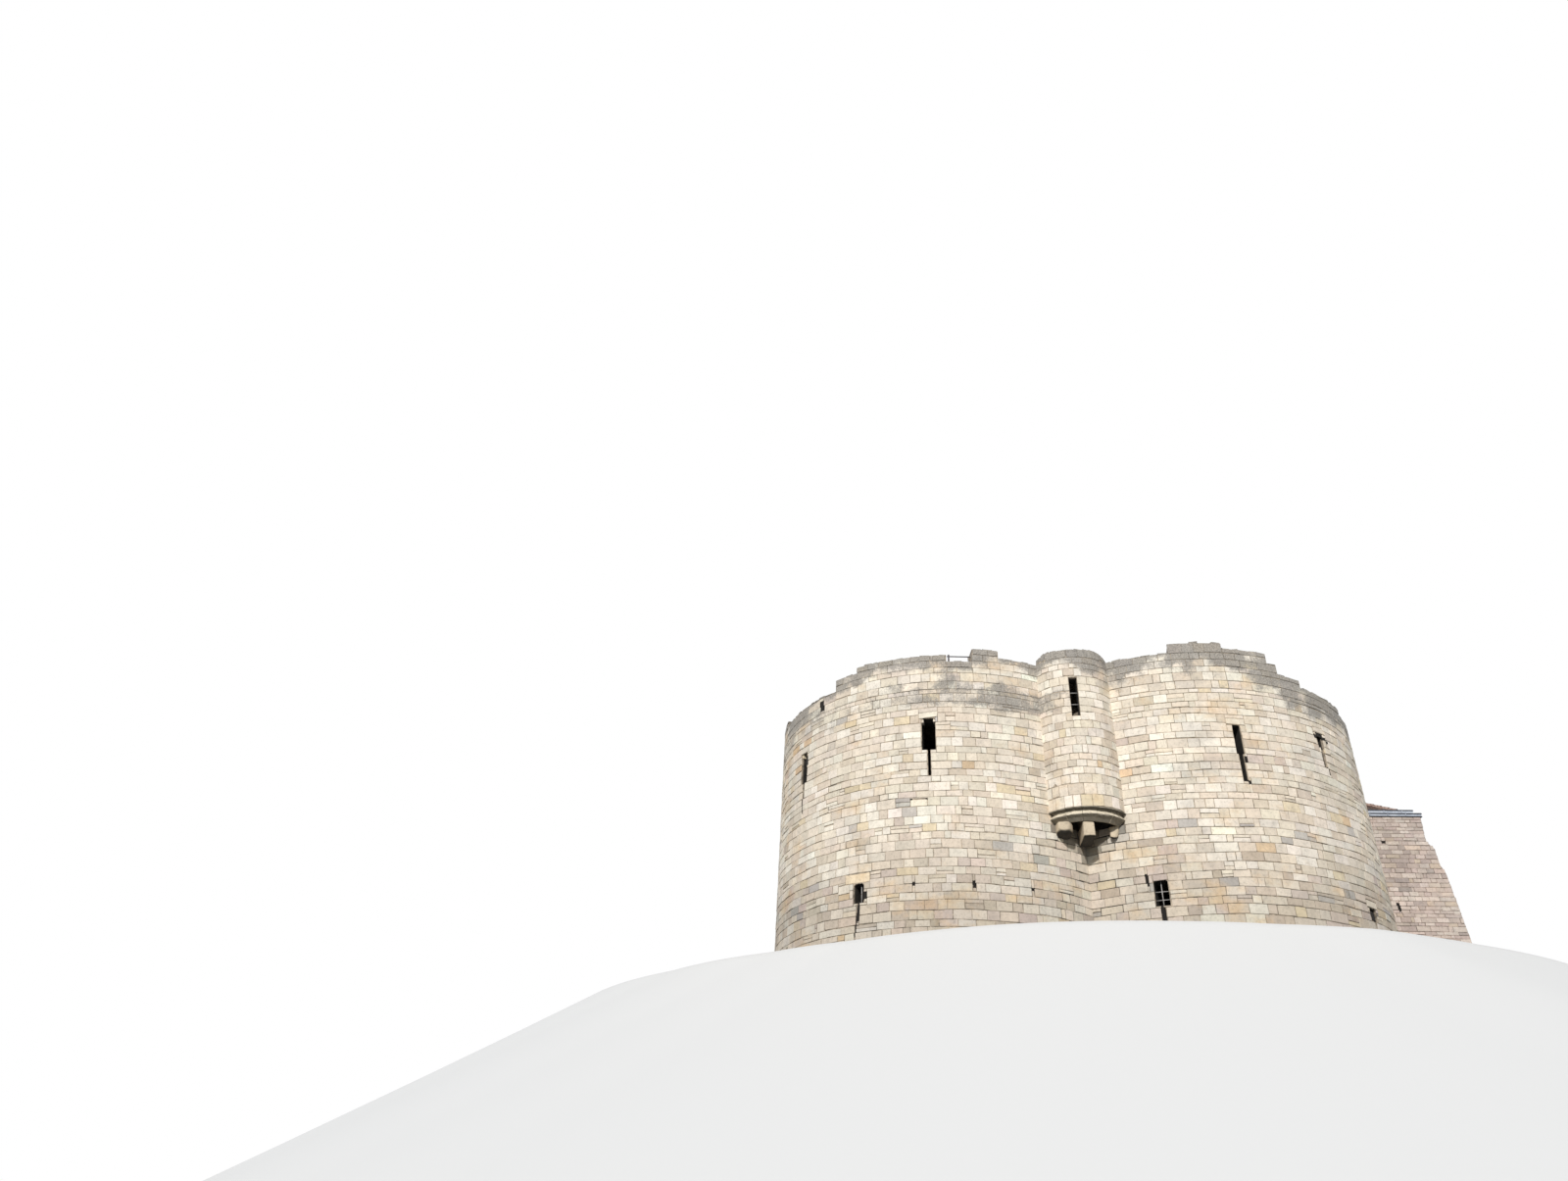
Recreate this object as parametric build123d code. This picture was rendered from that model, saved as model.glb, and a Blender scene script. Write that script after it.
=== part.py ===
"""Quatrefoil castle keep: a stone shell of four round lobes under a timber deck, with a turret corbelled
out over each free re-entrant corner and an entrance forebuilding on the fourth.

Millimetres, +Z up. The origin is the centre of the four lobes on the plane that the walls stand on.
The entrance faces -Y, the left side is -X. Angles on a lobe are counted in degrees from the lobe's own
axis, which points away from the keep's centre: plus turns towards the left or right side of the keep,
minus towards its back or front.
"""

from build123d import *
import math
import os

os.makedirs("parts", exist_ok=True)

# The keep's plan
lobe_radius = 6190.0
lobe_offset = 5810.0
lower_wall_thickness = 2900.0
upper_wall_thickness = 2750.0
parapet_thickness = 550.0

# Heights of the keep
ground_floor_level = 300.0
upper_floor_level = 4600.0
wall_top_level = 8500.0
paving_thickness = 150.0

# Timber of the upper floor and of the deck over the hall
board_thickness = 50.0
beam_depth = 300.0
joist_width = 150.0
joist_spacing = 940.0
girder_bearing = 300.0
deck_bearing = 350.0
deck_girder_half_width = 145.0

# Clearances
floor_joint = 5.0
past_face = 200.0
half_turn = 180.0
diagonal = 45.0

# Embrasures behind the upper loops and behind the low windows
skin_thickness = 700.0
upper_recess_inner_width = 1000.0
upper_recess_throat_width = 550.0
upper_recess_sill_height = 300.0
upper_recess_height = 2850.0
low_recess_inner_width = 800.0
low_recess_throat_width = 500.0
low_recess_sill_height = 550.0
low_recess_height = 1750.0

# Openings in the outer face: angle, width of the head, width of the slit, then heights above the storey's
# floor: foot of the slit, foot of the head, top of the head
back_loops = [(37.4, 450.0, 90.0, 830.0, 1720.0, 2850.0),
              (-10.5, 380.0, 90.0, 1040.0, 1590.0, 2750.0),
              (-50.0, 380.0, 90.0, 1040.0, 1590.0, 2750.0)]
front_loops = [(38.2, 250.0, 150.0, 680.0, 1600.0, 2630.0),
               (8.5, 260.0, 130.0, 1630.0, 2300.0, 2850.0),
               (-33.0, 250.0, 150.0, 680.0, 1600.0, 2630.0)]
back_low_windows = [(15.0, 360.0, 60.0, 650.0, 1200.0, 1820.0)]
front_low_windows = [(66.0, 420.0, 90.0, 730.0, 1150.0, 1950.0),
                     (2.0, 350.0, 120.0, 950.0, 1150.0, 1550.0)]
shoulder = 60.0

# Upright joints between the three wall segments of a lobe
back_seams = (2.7, -30.0)
front_seams = (23.4, -12.2)

# Broken top of the parapet: from angle, to angle, height above the wall's top
arc_end = 90.0
back_parapet_steps = [(60.1, arc_end, 1270.0), (51.7, 60.1, 1550.0), (43.6, 51.7, 1050.0),
                      (14.0, 43.6, 1300.0), (5.0, 14.0, 1080.0), (-28.0, 5.0, 650.0),
                      (-42.0, -28.0, 900.0), (-arc_end, -42.0, 1200.0)]
front_parapet_steps = [(54.0, arc_end, 1350.0), (38.0, 54.0, 1700.0), (23.7, 38.0, 1500.0),
                       (20.5, 23.7, 1150.0), (12.0, 20.5, 780.0), (-10.0, 12.0, 500.0),
                       (-26.0, -10.0, 300.0), (-48.0, -26.0, 750.0), (-arc_end, -48.0, 1270.0)]
rail_gap = back_parapet_steps[2]
rail_radius = 20.0
rail_above_gap = 340.0
rail_past_post = 60.0
rail_post_radius = 30.0
rail_post_inset = 90.0
rail_post_head = 50.0

# Turrets in the re-entrant corners
turret_radius = 1400.0
turret_projection = 1450.0
turret_wall_thickness = 400.0
turret_chamber_drop = 1200.0
turret_rise = 1550.0
turret_shoulder_drop = 200.0
turret_crown_half_width = 900.0
turret_window_width = 270.0
turret_window_shift = 100.0
turret_window_sill_height = 270.0
turret_window_height = 1410.0
turret_platform_step = 400.0
turret_platform_thickness = 150.0
turret_riser_thickness = 200.0
hatch_size = 480.0
hatch_side_place = -520.0
hatch_inset = 270.0

# Moulded ring under a turret, and its corbels
ring_top_level = 4450.0
ring_depth = 400.0
ring_fillet_projection = 35.0
ring_fillet_depth = 70.0
ring_neck_inset = 55.0
ring_roll_depth = 140.0
ring_roll_bulge = 50.0
ring_soffit_inset = 160.0
corbel_depth = 500.0
corbel_nose_radius = 165.0
centre_corbel_width = 410.0
centre_corbel_setback = 200.0
side_corbel_width = 400.0
side_corbel_place = 740.0
side_corbel_setback = 420.0
broken_corbel_setback = 700.0

# Doorways and passage on the entrance side
door_width = 1500.0
door_spring_level = 2000.0
passage_width = 1400.0
upper_door_width = 1000.0
upper_door_height = 2100.0

# Forebuilding
fore_half_width = 3350.0
fore_lower_wall_thickness = 1050.0
fore_upper_wall_thickness = 900.0
fore_wall_top_level = 6780.0
fore_front_face = 12870.0
fore_front_wall_thickness = 820.0
fore_floor_thickness = 300.0
fore_window_width = 400.0
fore_window_sill_height = 700.0
fore_window_height = 950.0

# Its clasping buttresses: how far each point of the front stands before the front face, and its level
buttress_width = 900.0
buttress_profile = [(100.0, fore_wall_top_level), (60.0, 5860.0), (280.0, 5600.0), (300.0, 5000.0),
                    (420.0, 4800.0), (630.0, 2290.0), (680.0, 0.0)]

# Lead eaves and tiled roof of the forebuilding
lead_overhang = 40.0
lead_lower_height = 130.0
lead_upper_height = 190.0
lead_step_inset = 180.0
roof_side_inset = 250.0
roof_front_inset = 600.0
roof_pitch = 36.0
roof_thickness = 200.0

# Worked out from the sizes above
lobe_place = lobe_offset / math.sqrt(2)
lower_half_width = lobe_radius - lower_wall_thickness
upper_half_width = lobe_radius - upper_wall_thickness
ledge_width = upper_half_width - lower_half_width
beam_top_level = upper_floor_level - board_thickness
ledge_level = beam_top_level - beam_depth
walk_level = wall_top_level + paving_thickness
deck_beam_top = wall_top_level + beam_depth
deck_half_width = upper_half_width + deck_bearing
plan_reach = lobe_offset + 2 * lobe_radius
above_everything = 2 * wall_top_level
corner_reach = lobe_place + math.sqrt(lobe_radius ** 2 - lobe_place ** 2)
turret_reach = corner_reach + turret_projection
turret_place = turret_reach - turret_radius
turret_hollow_radius = turret_radius - turret_wall_thickness
turret_chamber_level = wall_top_level - turret_chamber_drop
turret_top_level = wall_top_level + turret_rise
turret_shoulder_level = turret_top_level - turret_shoulder_drop
turret_window_sill_level = turret_chamber_level + turret_window_sill_height
turret_ceiling_level = walk_level + turret_platform_step
ring_bottom_level = ring_top_level - ring_depth
door_top_level = door_spring_level + door_width / 2
fore_inner_front = fore_front_face - fore_front_wall_thickness
fore_window_sill_level = upper_floor_level + fore_window_sill_height
lead_lower_top_level = fore_wall_top_level + lead_lower_height
lead_upper_top_level = lead_lower_top_level + lead_upper_height

LOBES = {
    "back_left": (-1, 1),
    "front_left": (-1, -1),
    "front_right": (1, -1),
    "back_right": (1, 1),
}
TURRETS = {"left_turret": 180.0, "right_turret": 0.0, "back_turret": 90.0}


def save(name, shape):
    """Writes one sub-part under its node name."""
    export_step(shape, f"parts/{name}.step")


def raised(sketch, bottom, top):
    """A plan extruded between two levels."""
    return Pos(0, 0, bottom) * extrude(sketch, amount=top - bottom, dir=(0, 0, 1))


def outline(points):
    """A flat face inside a closed run of straight lines."""
    return make_face(Polyline(*points, close=True))


def rectangle(low_x, high_x, low_y, high_y):
    """A plan rectangle between its sides."""
    return Pos((low_x + high_x) / 2, (low_y + high_y) / 2) * Rectangle(high_x - low_x, high_y - low_y)


def block(low_x, high_x, low_y, high_y, low_z, high_z):
    """A box between its six sides."""
    return raised(rectangle(low_x, high_x, low_y, high_y), low_z, high_z)


def lobe_centre(signs):
    """The place of a lobe's centre in plan."""
    return signs[0] * lobe_place, signs[1] * lobe_place


def plan_angle(signs, angle):
    """The direction in plan of an angle counted from a lobe's axis."""
    axis = math.degrees(math.atan2(signs[1], signs[0]))
    return axis - signs[0] * signs[1] * angle


def lobe_disc(signs, radius):
    """A round plan about a lobe's centre."""
    return Pos(*lobe_centre(signs)) * Circle(radius)


def all_lobes(radius):
    """The quatrefoil plan of four discs, with the square between them."""
    plan = rectangle(-lobe_place, lobe_place, -lobe_place, lobe_place)
    for signs in LOBES.values():
        plan += lobe_disc(signs, radius)
    return plan


def hollow(half_width):
    """The inner plan: two crossed arms along the lobes' axes, with round ends."""
    plan = Rot(0, 0, diagonal) * Rectangle(2 * lobe_offset, 2 * half_width)
    plan += Rot(0, 0, -diagonal) * Rectangle(2 * lobe_offset, 2 * half_width)
    for signs in LOBES.values():
        plan += lobe_disc(signs, half_width)
    return plan


def quadrant(signs):
    """The quarter of the plan that holds one lobe."""
    x_side = sorted((0.0, signs[0] * plan_reach))
    y_side = sorted((0.0, signs[1] * plan_reach))
    return rectangle(*x_side, *y_side)


def sector(signs, start, end):
    """A fan of plan between two angles of a lobe, from its centre outwards."""
    x, y = lobe_centre(signs)
    steps = 4
    points = [(x, y)]
    for step in range(steps + 1):
        turned = math.radians(plan_angle(signs, start + (end - start) * step / steps))
        points.append((x + plan_reach * math.cos(turned), y + plan_reach * math.sin(turned)))
    return outline(points)


def on_lobe(signs, angle):
    """The frame at a lobe's centre whose X points out at an angle."""
    return Pos(*lobe_centre(signs), 0) * Rot(0, 0, plan_angle(signs, angle))


def slit_cut(signs, opening, floor_level):
    """The opening through the outer skin: a slit with a wider, shouldered head above it."""
    angle, head, slit = opening[:3]
    slit_foot, head_foot, top = [floor_level + height for height in opening[3:]]
    points = [(-slit / 2, slit_foot), (slit / 2, slit_foot), (slit / 2, head_foot), (head / 2, head_foot),
              (head / 2, top - shoulder), (head / 2 - shoulder, top), (shoulder - head / 2, top),
              (-head / 2, top - shoulder), (-head / 2, head_foot), (-slit / 2, head_foot)]
    face = Plane.YZ * outline(points)
    depth = skin_thickness + 2 * past_face
    start = lobe_radius - skin_thickness - past_face
    return on_lobe(signs, angle) * Pos(start, 0, 0) * extrude(face, amount=depth, dir=(1, 0, 0))


def recess_cut(signs, angle, half_width, inner, throat, sill, height):
    """The splayed embrasure from the inner face to the outer skin."""
    end = lobe_radius - skin_thickness
    slope = (inner - throat) / (2 * (end - half_width))
    start = half_width - 2 * past_face
    start_half = inner / 2 + slope * (half_width - start)
    points = [(start, -start_half), (end, -throat / 2), (end, throat / 2), (start, start_half)]
    return on_lobe(signs, angle) * raised(outline(points), sill, sill + height)


def opening_cuts(signs):
    """Every loop and low window of a lobe, with its embrasure."""
    loops = back_loops if signs[1] > 0 else front_loops
    low_windows = back_low_windows if signs[1] > 0 else front_low_windows
    cuts = []
    for opening in loops:
        cuts.append(slit_cut(signs, opening, upper_floor_level))
        cuts.append(recess_cut(signs, opening[0], upper_half_width, upper_recess_inner_width,
                               upper_recess_throat_width, upper_floor_level + upper_recess_sill_height,
                               upper_recess_height))
    for opening in low_windows:
        cuts.append(slit_cut(signs, opening, ground_floor_level))
        cuts.append(recess_cut(signs, opening[0], lower_half_width, low_recess_inner_width,
                               low_recess_throat_width, ground_floor_level + low_recess_sill_height,
                               low_recess_height))
    return cuts


def arched_way(width, spring_level, near, far):
    """An upright round-headed way along Y, from below the floor to its crown."""
    radius = width / 2
    way = block(-radius, radius, near, far, 0, spring_level)
    crown = Pos(0, (near + far) / 2, spring_level) * Rot(90, 0, 0) * Cylinder(radius, abs(far - near))
    return way + crown


def wall_segments(name, signs):
    """The three full-height segments of one lobe's wall."""
    third = "back" if signs[1] > 0 else "front"
    seams = back_seams if signs[1] > 0 else front_seams
    spans = {"side": (seams[0], half_turn), "middle": (seams[1], seams[0]), third: (-half_turn, seams[1])}
    round_plan = lobe_disc(signs, lobe_radius) & quadrant(signs)
    lower_plan = round_plan - hollow(lower_half_width)
    upper_plan = round_plan - hollow(upper_half_width)
    cuts = opening_cuts(signs)
    if third == "front":
        cuts.append(arched_way(passage_width, door_spring_level, -plan_reach, 0))
        cuts.append(block(-upper_door_width / 2, upper_door_width / 2, -plan_reach, 0,
                          upper_floor_level, upper_floor_level + upper_door_height))
    for part_name, (start, end) in spans.items():
        fan = sector(signs, start, end)
        wall = raised(lower_plan & fan, 0, ledge_level)
        wall += raised(upper_plan & fan, ledge_level, wall_top_level)
        for cut in cuts:
            wall -= cut
        save(f"{name}_wall_{part_name}", wall)


def turret_frame(turn):
    """The frame whose X points out through a re-entrant corner."""
    return Rot(0, 0, turn)


def turret_disc(radius):
    """A round plan about a turret's axis, in the turret's frame."""
    return Pos(turret_place, 0) * Circle(radius)


def walk_gaps(radius):
    """The round plans that let the wall walk into the turrets."""
    return [turret_frame(turn) * turret_disc(radius) for turn in TURRETS.values()]


def parapet(signs):
    """The parapet along a lobe's outer edge, with its broken top."""
    steps = back_parapet_steps if signs[1] > 0 else front_parapet_steps
    band = (lobe_disc(signs, lobe_radius) - lobe_disc(signs, lobe_radius - parapet_thickness))
    band = band & quadrant(signs)
    for gap in walk_gaps(turret_hollow_radius):
        band -= gap
    wall = None
    for start, end, height in steps:
        piece = raised(band & sector(signs, start, end), wall_top_level, wall_top_level + height)
        wall = piece if wall is None else wall + piece
    return wall


def wall_walk(signs):
    """The paving behind a lobe's parapet."""
    plan = lobe_disc(signs, lobe_radius - parapet_thickness - floor_joint)
    for gap in walk_gaps(turret_hollow_radius - floor_joint):
        plan += gap & lobe_disc(signs, lobe_radius)
    plan = plan & quadrant(signs)
    return raised(plan - hollow(deck_half_width + floor_joint), wall_top_level, walk_level)


def guard_rail(signs):
    """The thin rail across the gap in a back lobe's parapet, from a post to the merlon beside the gap."""
    low, high, gap_height = rail_gap
    reach = lobe_radius - parapet_thickness / 2
    post_angle = low + math.degrees(rail_post_inset / reach)
    gap_top = wall_top_level + gap_height
    length = reach * math.radians(high - post_angle) + 2 * rail_past_post
    rail = Rot(90, 0, 0) * Cylinder(rail_radius, length)
    rail = on_lobe(signs, (post_angle + high) / 2) * Pos(reach, 0, gap_top + rail_above_gap) * rail
    post_height = rail_above_gap + rail_radius + rail_post_head
    post = Pos(reach, 0, gap_top + post_height / 2) * Cylinder(rail_post_radius, post_height)
    return rail + on_lobe(signs, post_angle) * post - parapet(signs)


def turret_lobes():
    """The round plans of the two lobes that a turret stands between, in the turret's frame."""
    one = Pos(lobe_place, lobe_place) * Circle(lobe_radius)
    other = Pos(lobe_place, -lobe_place) * Circle(lobe_radius)
    return one + other


def turret_platform():
    """The slab over a turret's chamber, with a hatch, and its riser where it stands on the wall walk."""
    on_walk = turret_disc(turret_hollow_radius - floor_joint)
    slab_top = turret_ceiling_level + turret_platform_thickness
    plan = turret_disc(turret_hollow_radius) - turret_lobes() + on_walk
    plan -= Pos(turret_place - hatch_inset, hatch_side_place) * Rectangle(hatch_size, hatch_size)
    riser = on_walk - turret_disc(turret_hollow_radius - turret_riser_thickness)
    return raised(plan, turret_ceiling_level, slab_top) + raised(
        riser & turret_lobes(), walk_level, turret_ceiling_level)


def turret_shaft(window_shift):
    """A turret: solid foot, then a round wall about the chamber, with a window in its nose."""
    full = turret_disc(turret_radius) - turret_lobes()
    shell = full - turret_disc(turret_hollow_radius)
    shaft = raised(full, ring_top_level, turret_chamber_level)
    shaft += raised(shell, turret_chamber_level, turret_shoulder_level)
    crown = rectangle(turret_place, turret_reach + past_face, -turret_crown_half_width,
                      turret_crown_half_width)
    shaft += raised(shell & crown, turret_shoulder_level, turret_top_level)
    shaft += turret_platform()
    window = block(turret_reach - turret_radius / 2, turret_reach + past_face,
                   window_shift - turret_window_width / 2, window_shift + turret_window_width / 2,
                   turret_window_sill_level, turret_window_sill_level + turret_window_height)
    return shaft - window


def turret_ring():
    """The moulded ring under a turret: a fillet, a sunk neck, a roll and a chamfered soffit."""
    fillet = turret_radius + ring_fillet_projection
    neck = turret_radius - ring_neck_inset
    fillet_foot = ring_top_level - ring_fillet_depth
    roll_top = fillet_foot - ring_neck_inset
    roll_foot = roll_top - ring_roll_depth
    roll_middle = (roll_top + roll_foot) / 2
    soffit = turret_radius - ring_soffit_inset
    lines = [Line((0, ring_top_level), (fillet, ring_top_level)),
             Line((fillet, ring_top_level), (fillet, fillet_foot)),
             Line((fillet, fillet_foot), (neck, roll_top)),
             ThreePointArc((neck, roll_top), (neck + ring_roll_bulge, roll_middle), (neck, roll_foot)),
             Line((neck, roll_foot), (soffit, ring_bottom_level)),
             Line((soffit, ring_bottom_level), (0, ring_bottom_level)),
             Line((0, ring_bottom_level), (0, ring_top_level))]
    profile = Plane.XZ * make_face(Curve() + lines)
    ring = Pos(turret_place, 0, 0) * revolve(profile, Axis.Z)
    for side in (-1, 1):
        lobe = Pos(lobe_place, side * lobe_place) * Circle(lobe_radius)
        ring -= raised(lobe, 0, wall_top_level)
    return ring


def corbel(side_place, width, setback):
    """One corbel under the ring, with a quarter-round nose."""
    nose = turret_reach - setback
    foot = ring_bottom_level - corbel_depth
    bar = block(lobe_place, nose, side_place - width / 2, side_place + width / 2, foot,
                ring_bottom_level)
    bar = fillet(bar.edges().filter_by(Axis.Y).group_by(Axis.X)[-1].sort_by(Axis.Z)[0],
                 corbel_nose_radius)
    for side in (-1, 1):
        lobe = Pos(lobe_place, side * lobe_place) * Circle(lobe_radius)
        bar -= raised(lobe, 0, wall_top_level)
    return bar


def turret_corbels(left_setback, right_setback):
    """The three corbels of a turret, which don't touch each other."""
    return Compound(children=[corbel(-side_corbel_place, side_corbel_width, left_setback),
                              corbel(0, centre_corbel_width, centre_corbel_setback),
                              corbel(side_corbel_place, side_corbel_width, right_setback)])


def without_front_lobes(shape):
    """Trims a piece of the forebuilding back to the keep's outer face."""
    for signs in ((-1, -1), (1, -1)):
        shape -= raised(lobe_disc(signs, lobe_radius), -past_face, above_everything)
    shape -= block(-plan_reach, plan_reach, -lobe_place, plan_reach, -past_face, above_everything)
    return shape


def fore_side_wall(side):
    """A side wall of the forebuilding, thinner above the ledge that carries its upper floor."""
    ledge = upper_floor_level - fore_floor_thickness
    outer = side * fore_half_width
    lower = sorted((outer, outer - side * fore_lower_wall_thickness))
    upper = sorted((outer, outer - side * fore_upper_wall_thickness))
    wall = block(*lower, -fore_inner_front, -lobe_place, 0, ledge)
    wall += block(*upper, -fore_inner_front, -lobe_place, ledge, fore_wall_top_level)
    return without_front_lobes(wall)


def fore_buttress(side):
    """A clasping buttress at a front corner, battered and weathered back in two set-offs."""
    points = [(-fore_inner_front, 0), (-fore_inner_front, fore_wall_top_level)]
    points += [(-fore_front_face - out, level) for out, level in buttress_profile]
    face = Plane.YZ * outline(points)
    inner = fore_half_width - buttress_width
    start = inner if side > 0 else -fore_half_width
    return Pos(start, 0, 0) * extrude(face, amount=buttress_width, dir=(1, 0, 0))


def fore_front_pieces():
    """The front wall beside the doorway on both sides, and over it."""
    half = fore_half_width - buttress_width
    side_wall = (door_width / 2, half)
    left = block(-side_wall[1], -side_wall[0], -fore_front_face, -fore_inner_front, 0, door_top_level)
    right = block(*side_wall, -fore_front_face, -fore_inner_front, 0, door_top_level)
    over = block(-half, half, -fore_front_face, -fore_inner_front, door_top_level,
                 fore_wall_top_level)
    spandrels = block(-door_width / 2, door_width / 2, -fore_front_face, -fore_inner_front,
                      door_spring_level, door_top_level)
    crown = arched_way(door_width, door_spring_level, -fore_front_face - past_face,
                       -fore_inner_front + past_face)
    spandrels -= crown
    halves = spandrels.solids().sort_by(Axis.X)
    left += halves[0]
    right += halves[-1]
    over -= block(-fore_window_width / 2, fore_window_width / 2, -fore_front_face - past_face,
                  -fore_inner_front + past_face, fore_window_sill_level,
                  fore_window_sill_level + fore_window_height)
    return left, right, over


def fore_ground_floor():
    """The floor inside the forebuilding, with the threshold of its doorway."""
    half = fore_half_width - fore_lower_wall_thickness - floor_joint
    floor = block(-half, half, -fore_inner_front, -lobe_place, 0, ground_floor_level)
    floor = without_front_lobes(floor)
    sill_half = door_width / 2 - floor_joint
    return floor + block(-sill_half, sill_half, -fore_front_face, -fore_inner_front, 0,
                         ground_floor_level)


def fore_upper_floor():
    """The forebuilding's upper floor, on the ledges of its side walls."""
    half = fore_half_width - fore_upper_wall_thickness - floor_joint
    floor = block(-half, half, -fore_inner_front + floor_joint, -lobe_place,
                  upper_floor_level - fore_floor_thickness, upper_floor_level)
    return without_front_lobes(floor)


def lead_eaves():
    """The stepped lead covering along the forebuilding's wall tops."""
    inner = fore_half_width - fore_upper_wall_thickness
    front = fore_front_face + buttress_profile[0][0] + lead_overhang
    half = fore_half_width + lead_overhang
    hole = rectangle(-inner, inner, -fore_inner_front, 0)
    lower = rectangle(-half, half, -front, -lobe_place) - hole
    upper = rectangle(-half + lead_step_inset, half - lead_step_inset, -front + lead_step_inset,
                      -lobe_place) - hole
    eaves = raised(lower, fore_wall_top_level, lead_lower_top_level)
    eaves += raised(upper, lead_lower_top_level, lead_upper_top_level)
    return without_front_lobes(eaves)


def hipped_block(drop):
    """The space under a hipped roof, lowered by a drop and cut off level at the eaves."""
    half = fore_half_width - roof_side_inset
    front = fore_front_face - roof_front_inset + lead_overhang
    rise = math.tan(math.radians(roof_pitch))
    eaves = lead_upper_top_level
    cross = Plane.XZ * outline([(-half, eaves - drop), (half, eaves - drop), (0, eaves - drop + half * rise)])
    gable = Pos(0, -lobe_place, 0) * extrude(cross, amount=front - lobe_place, dir=(0, -1, 0))
    peak = eaves - drop + half * rise
    side = Plane.YZ * outline([(-front, eaves - drop), (-front + half, peak), (-lobe_place, peak),
                               (-lobe_place, eaves - drop)])
    hip = Pos(-half, 0, 0) * extrude(side, amount=2 * half, dir=(1, 0, 0))
    keep_above = block(-plan_reach, plan_reach, -plan_reach, plan_reach, eaves, above_everything)
    return (gable & hip) & keep_above


def fore_roof():
    """The hipped roof as a shell of its real thickness, against the keep's outer face."""
    drop = roof_thickness / math.cos(math.radians(roof_pitch))
    return without_front_lobes(hipped_block(0) - hipped_block(drop))


def ground_floor():
    """The keep's ground floor, with the floor of the passage through its wall."""
    plan = hollow(lower_half_width - floor_joint)
    strip = rectangle(-passage_width / 2 + floor_joint, passage_width / 2 - floor_joint,
                      -plan_reach, 0)
    plan += strip & all_lobes(lobe_radius)
    return raised(plan, 0, ground_floor_level)


def girders(place, half_width, half_length, foot, top):
    """Two girders across the mouths of the back left and front right arms."""
    bar = Pos(0, 0, (foot + top) / 2) * Box(2 * half_width, 2 * half_length, top - foot)
    turned = Rot(0, 0, half_turn - diagonal)
    return Compound(children=[turned * Pos(side * place, 0, 0) * bar for side in (-1, 1)])


def joist(low, high, place, foot, top):
    """One joist between two ends, at its place across the arm."""
    bar = block(low, high, place - joist_width / 2, place + joist_width / 2, foot, top)
    return Rot(0, 0, half_turn - diagonal) * bar


def joists(girder_place, girder_half, girder_reach, reach, foot, top):
    """Joists that run from wall to wall, or from a girder to a wall or the other girder."""
    inner = girder_place - girder_half
    outer = girder_place + girder_half
    count = int((lobe_offset + reach - joist_width) / joist_spacing)
    made = []
    for index in range(-count, count + 1):
        place = index * joist_spacing
        edge = abs(place) + joist_width / 2
        if edge < girder_place:
            end = lobe_offset + math.sqrt(reach ** 2 - edge ** 2)
            made.append(joist(-inner, inner, place, foot, top))
            made.append(joist(outer, end, place, foot, top))
            made.append(joist(-end, -outer, place, foot, top))
        elif edge - joist_width > girder_reach:
            beyond = max(0.0, edge - lobe_offset)
            half = math.sqrt(reach ** 2 - beyond ** 2)
            made.append(joist(-half, half, place, foot, top))
    return Compound(children=made)


def upper_floor_pieces():
    """The girders and joists on the ledges, and the boarding as one plate."""
    girder_half = ledge_width - floor_joint
    girder_reach = lower_half_width + girder_bearing
    reach = upper_half_width - floor_joint
    beams = girders(lower_half_width, girder_half, girder_reach, ledge_level, beam_top_level)
    crossing = joists(lower_half_width, girder_half, girder_reach, reach, ledge_level, beam_top_level)
    return beams, crossing, raised(hollow(reach), beam_top_level, upper_floor_level)


def deck_pieces():
    """The girders and joists that lie on the wall's top, and the deck's boarding as one plate."""
    place = upper_half_width + deck_girder_half_width
    beams = girders(place, deck_girder_half_width, deck_half_width, wall_top_level, deck_beam_top)
    crossing = joists(place, deck_girder_half_width, deck_half_width, deck_half_width, wall_top_level,
                      deck_beam_top)
    boards = raised(hollow(deck_half_width), deck_beam_top, deck_beam_top + board_thickness)
    return beams, crossing, boards


rails = []
for lobe_name, lobe_signs in LOBES.items():
    wall_segments(lobe_name, lobe_signs)
    save(f"{lobe_name}_parapet", parapet(lobe_signs))
    save(f"{lobe_name}_wall_walk", wall_walk(lobe_signs))
    if lobe_signs[1] > 0:
        rails.append(guard_rail(lobe_signs))
save("parapet_guard_rails", Compound(children=rails))

for turret_name, turret_turn in TURRETS.items():
    frame = turret_frame(turret_turn)
    seen = turret_name == "left_turret"
    first_setback = side_corbel_setback
    second_setback = broken_corbel_setback if seen else side_corbel_setback
    save(f"{turret_name}_shaft", frame * turret_shaft(-turret_window_shift if seen else 0.0))
    save(f"{turret_name}_ring", frame * turret_ring())
    save(f"{turret_name}_corbels", frame * turret_corbels(first_setback, second_setback))

for side_name, side_sign in {"left": -1, "right": 1}.items():
    save(f"forebuilding_{side_name}_wall", fore_side_wall(side_sign))
    save(f"forebuilding_{side_name}_buttress", fore_buttress(side_sign))
front_left_wall, front_right_wall, front_over_wall = fore_front_pieces()
save("forebuilding_front_wall_left", front_left_wall)
save("forebuilding_front_wall_right", front_right_wall)
save("forebuilding_front_wall_over_door", front_over_wall)
save("forebuilding_ground_floor", fore_ground_floor())
save("forebuilding_upper_floor", fore_upper_floor())
save("forebuilding_lead_eaves", lead_eaves())
save("forebuilding_roof", fore_roof())

save("ground_floor", ground_floor())
for floor_name, floor_pieces in {"upper_floor": upper_floor_pieces(), "roof_deck": deck_pieces()}.items():
    for piece_name, piece in zip(("girders", "joists", "boards"), floor_pieces):
        save(f"{floor_name}_{piece_name}", piece)
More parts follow.
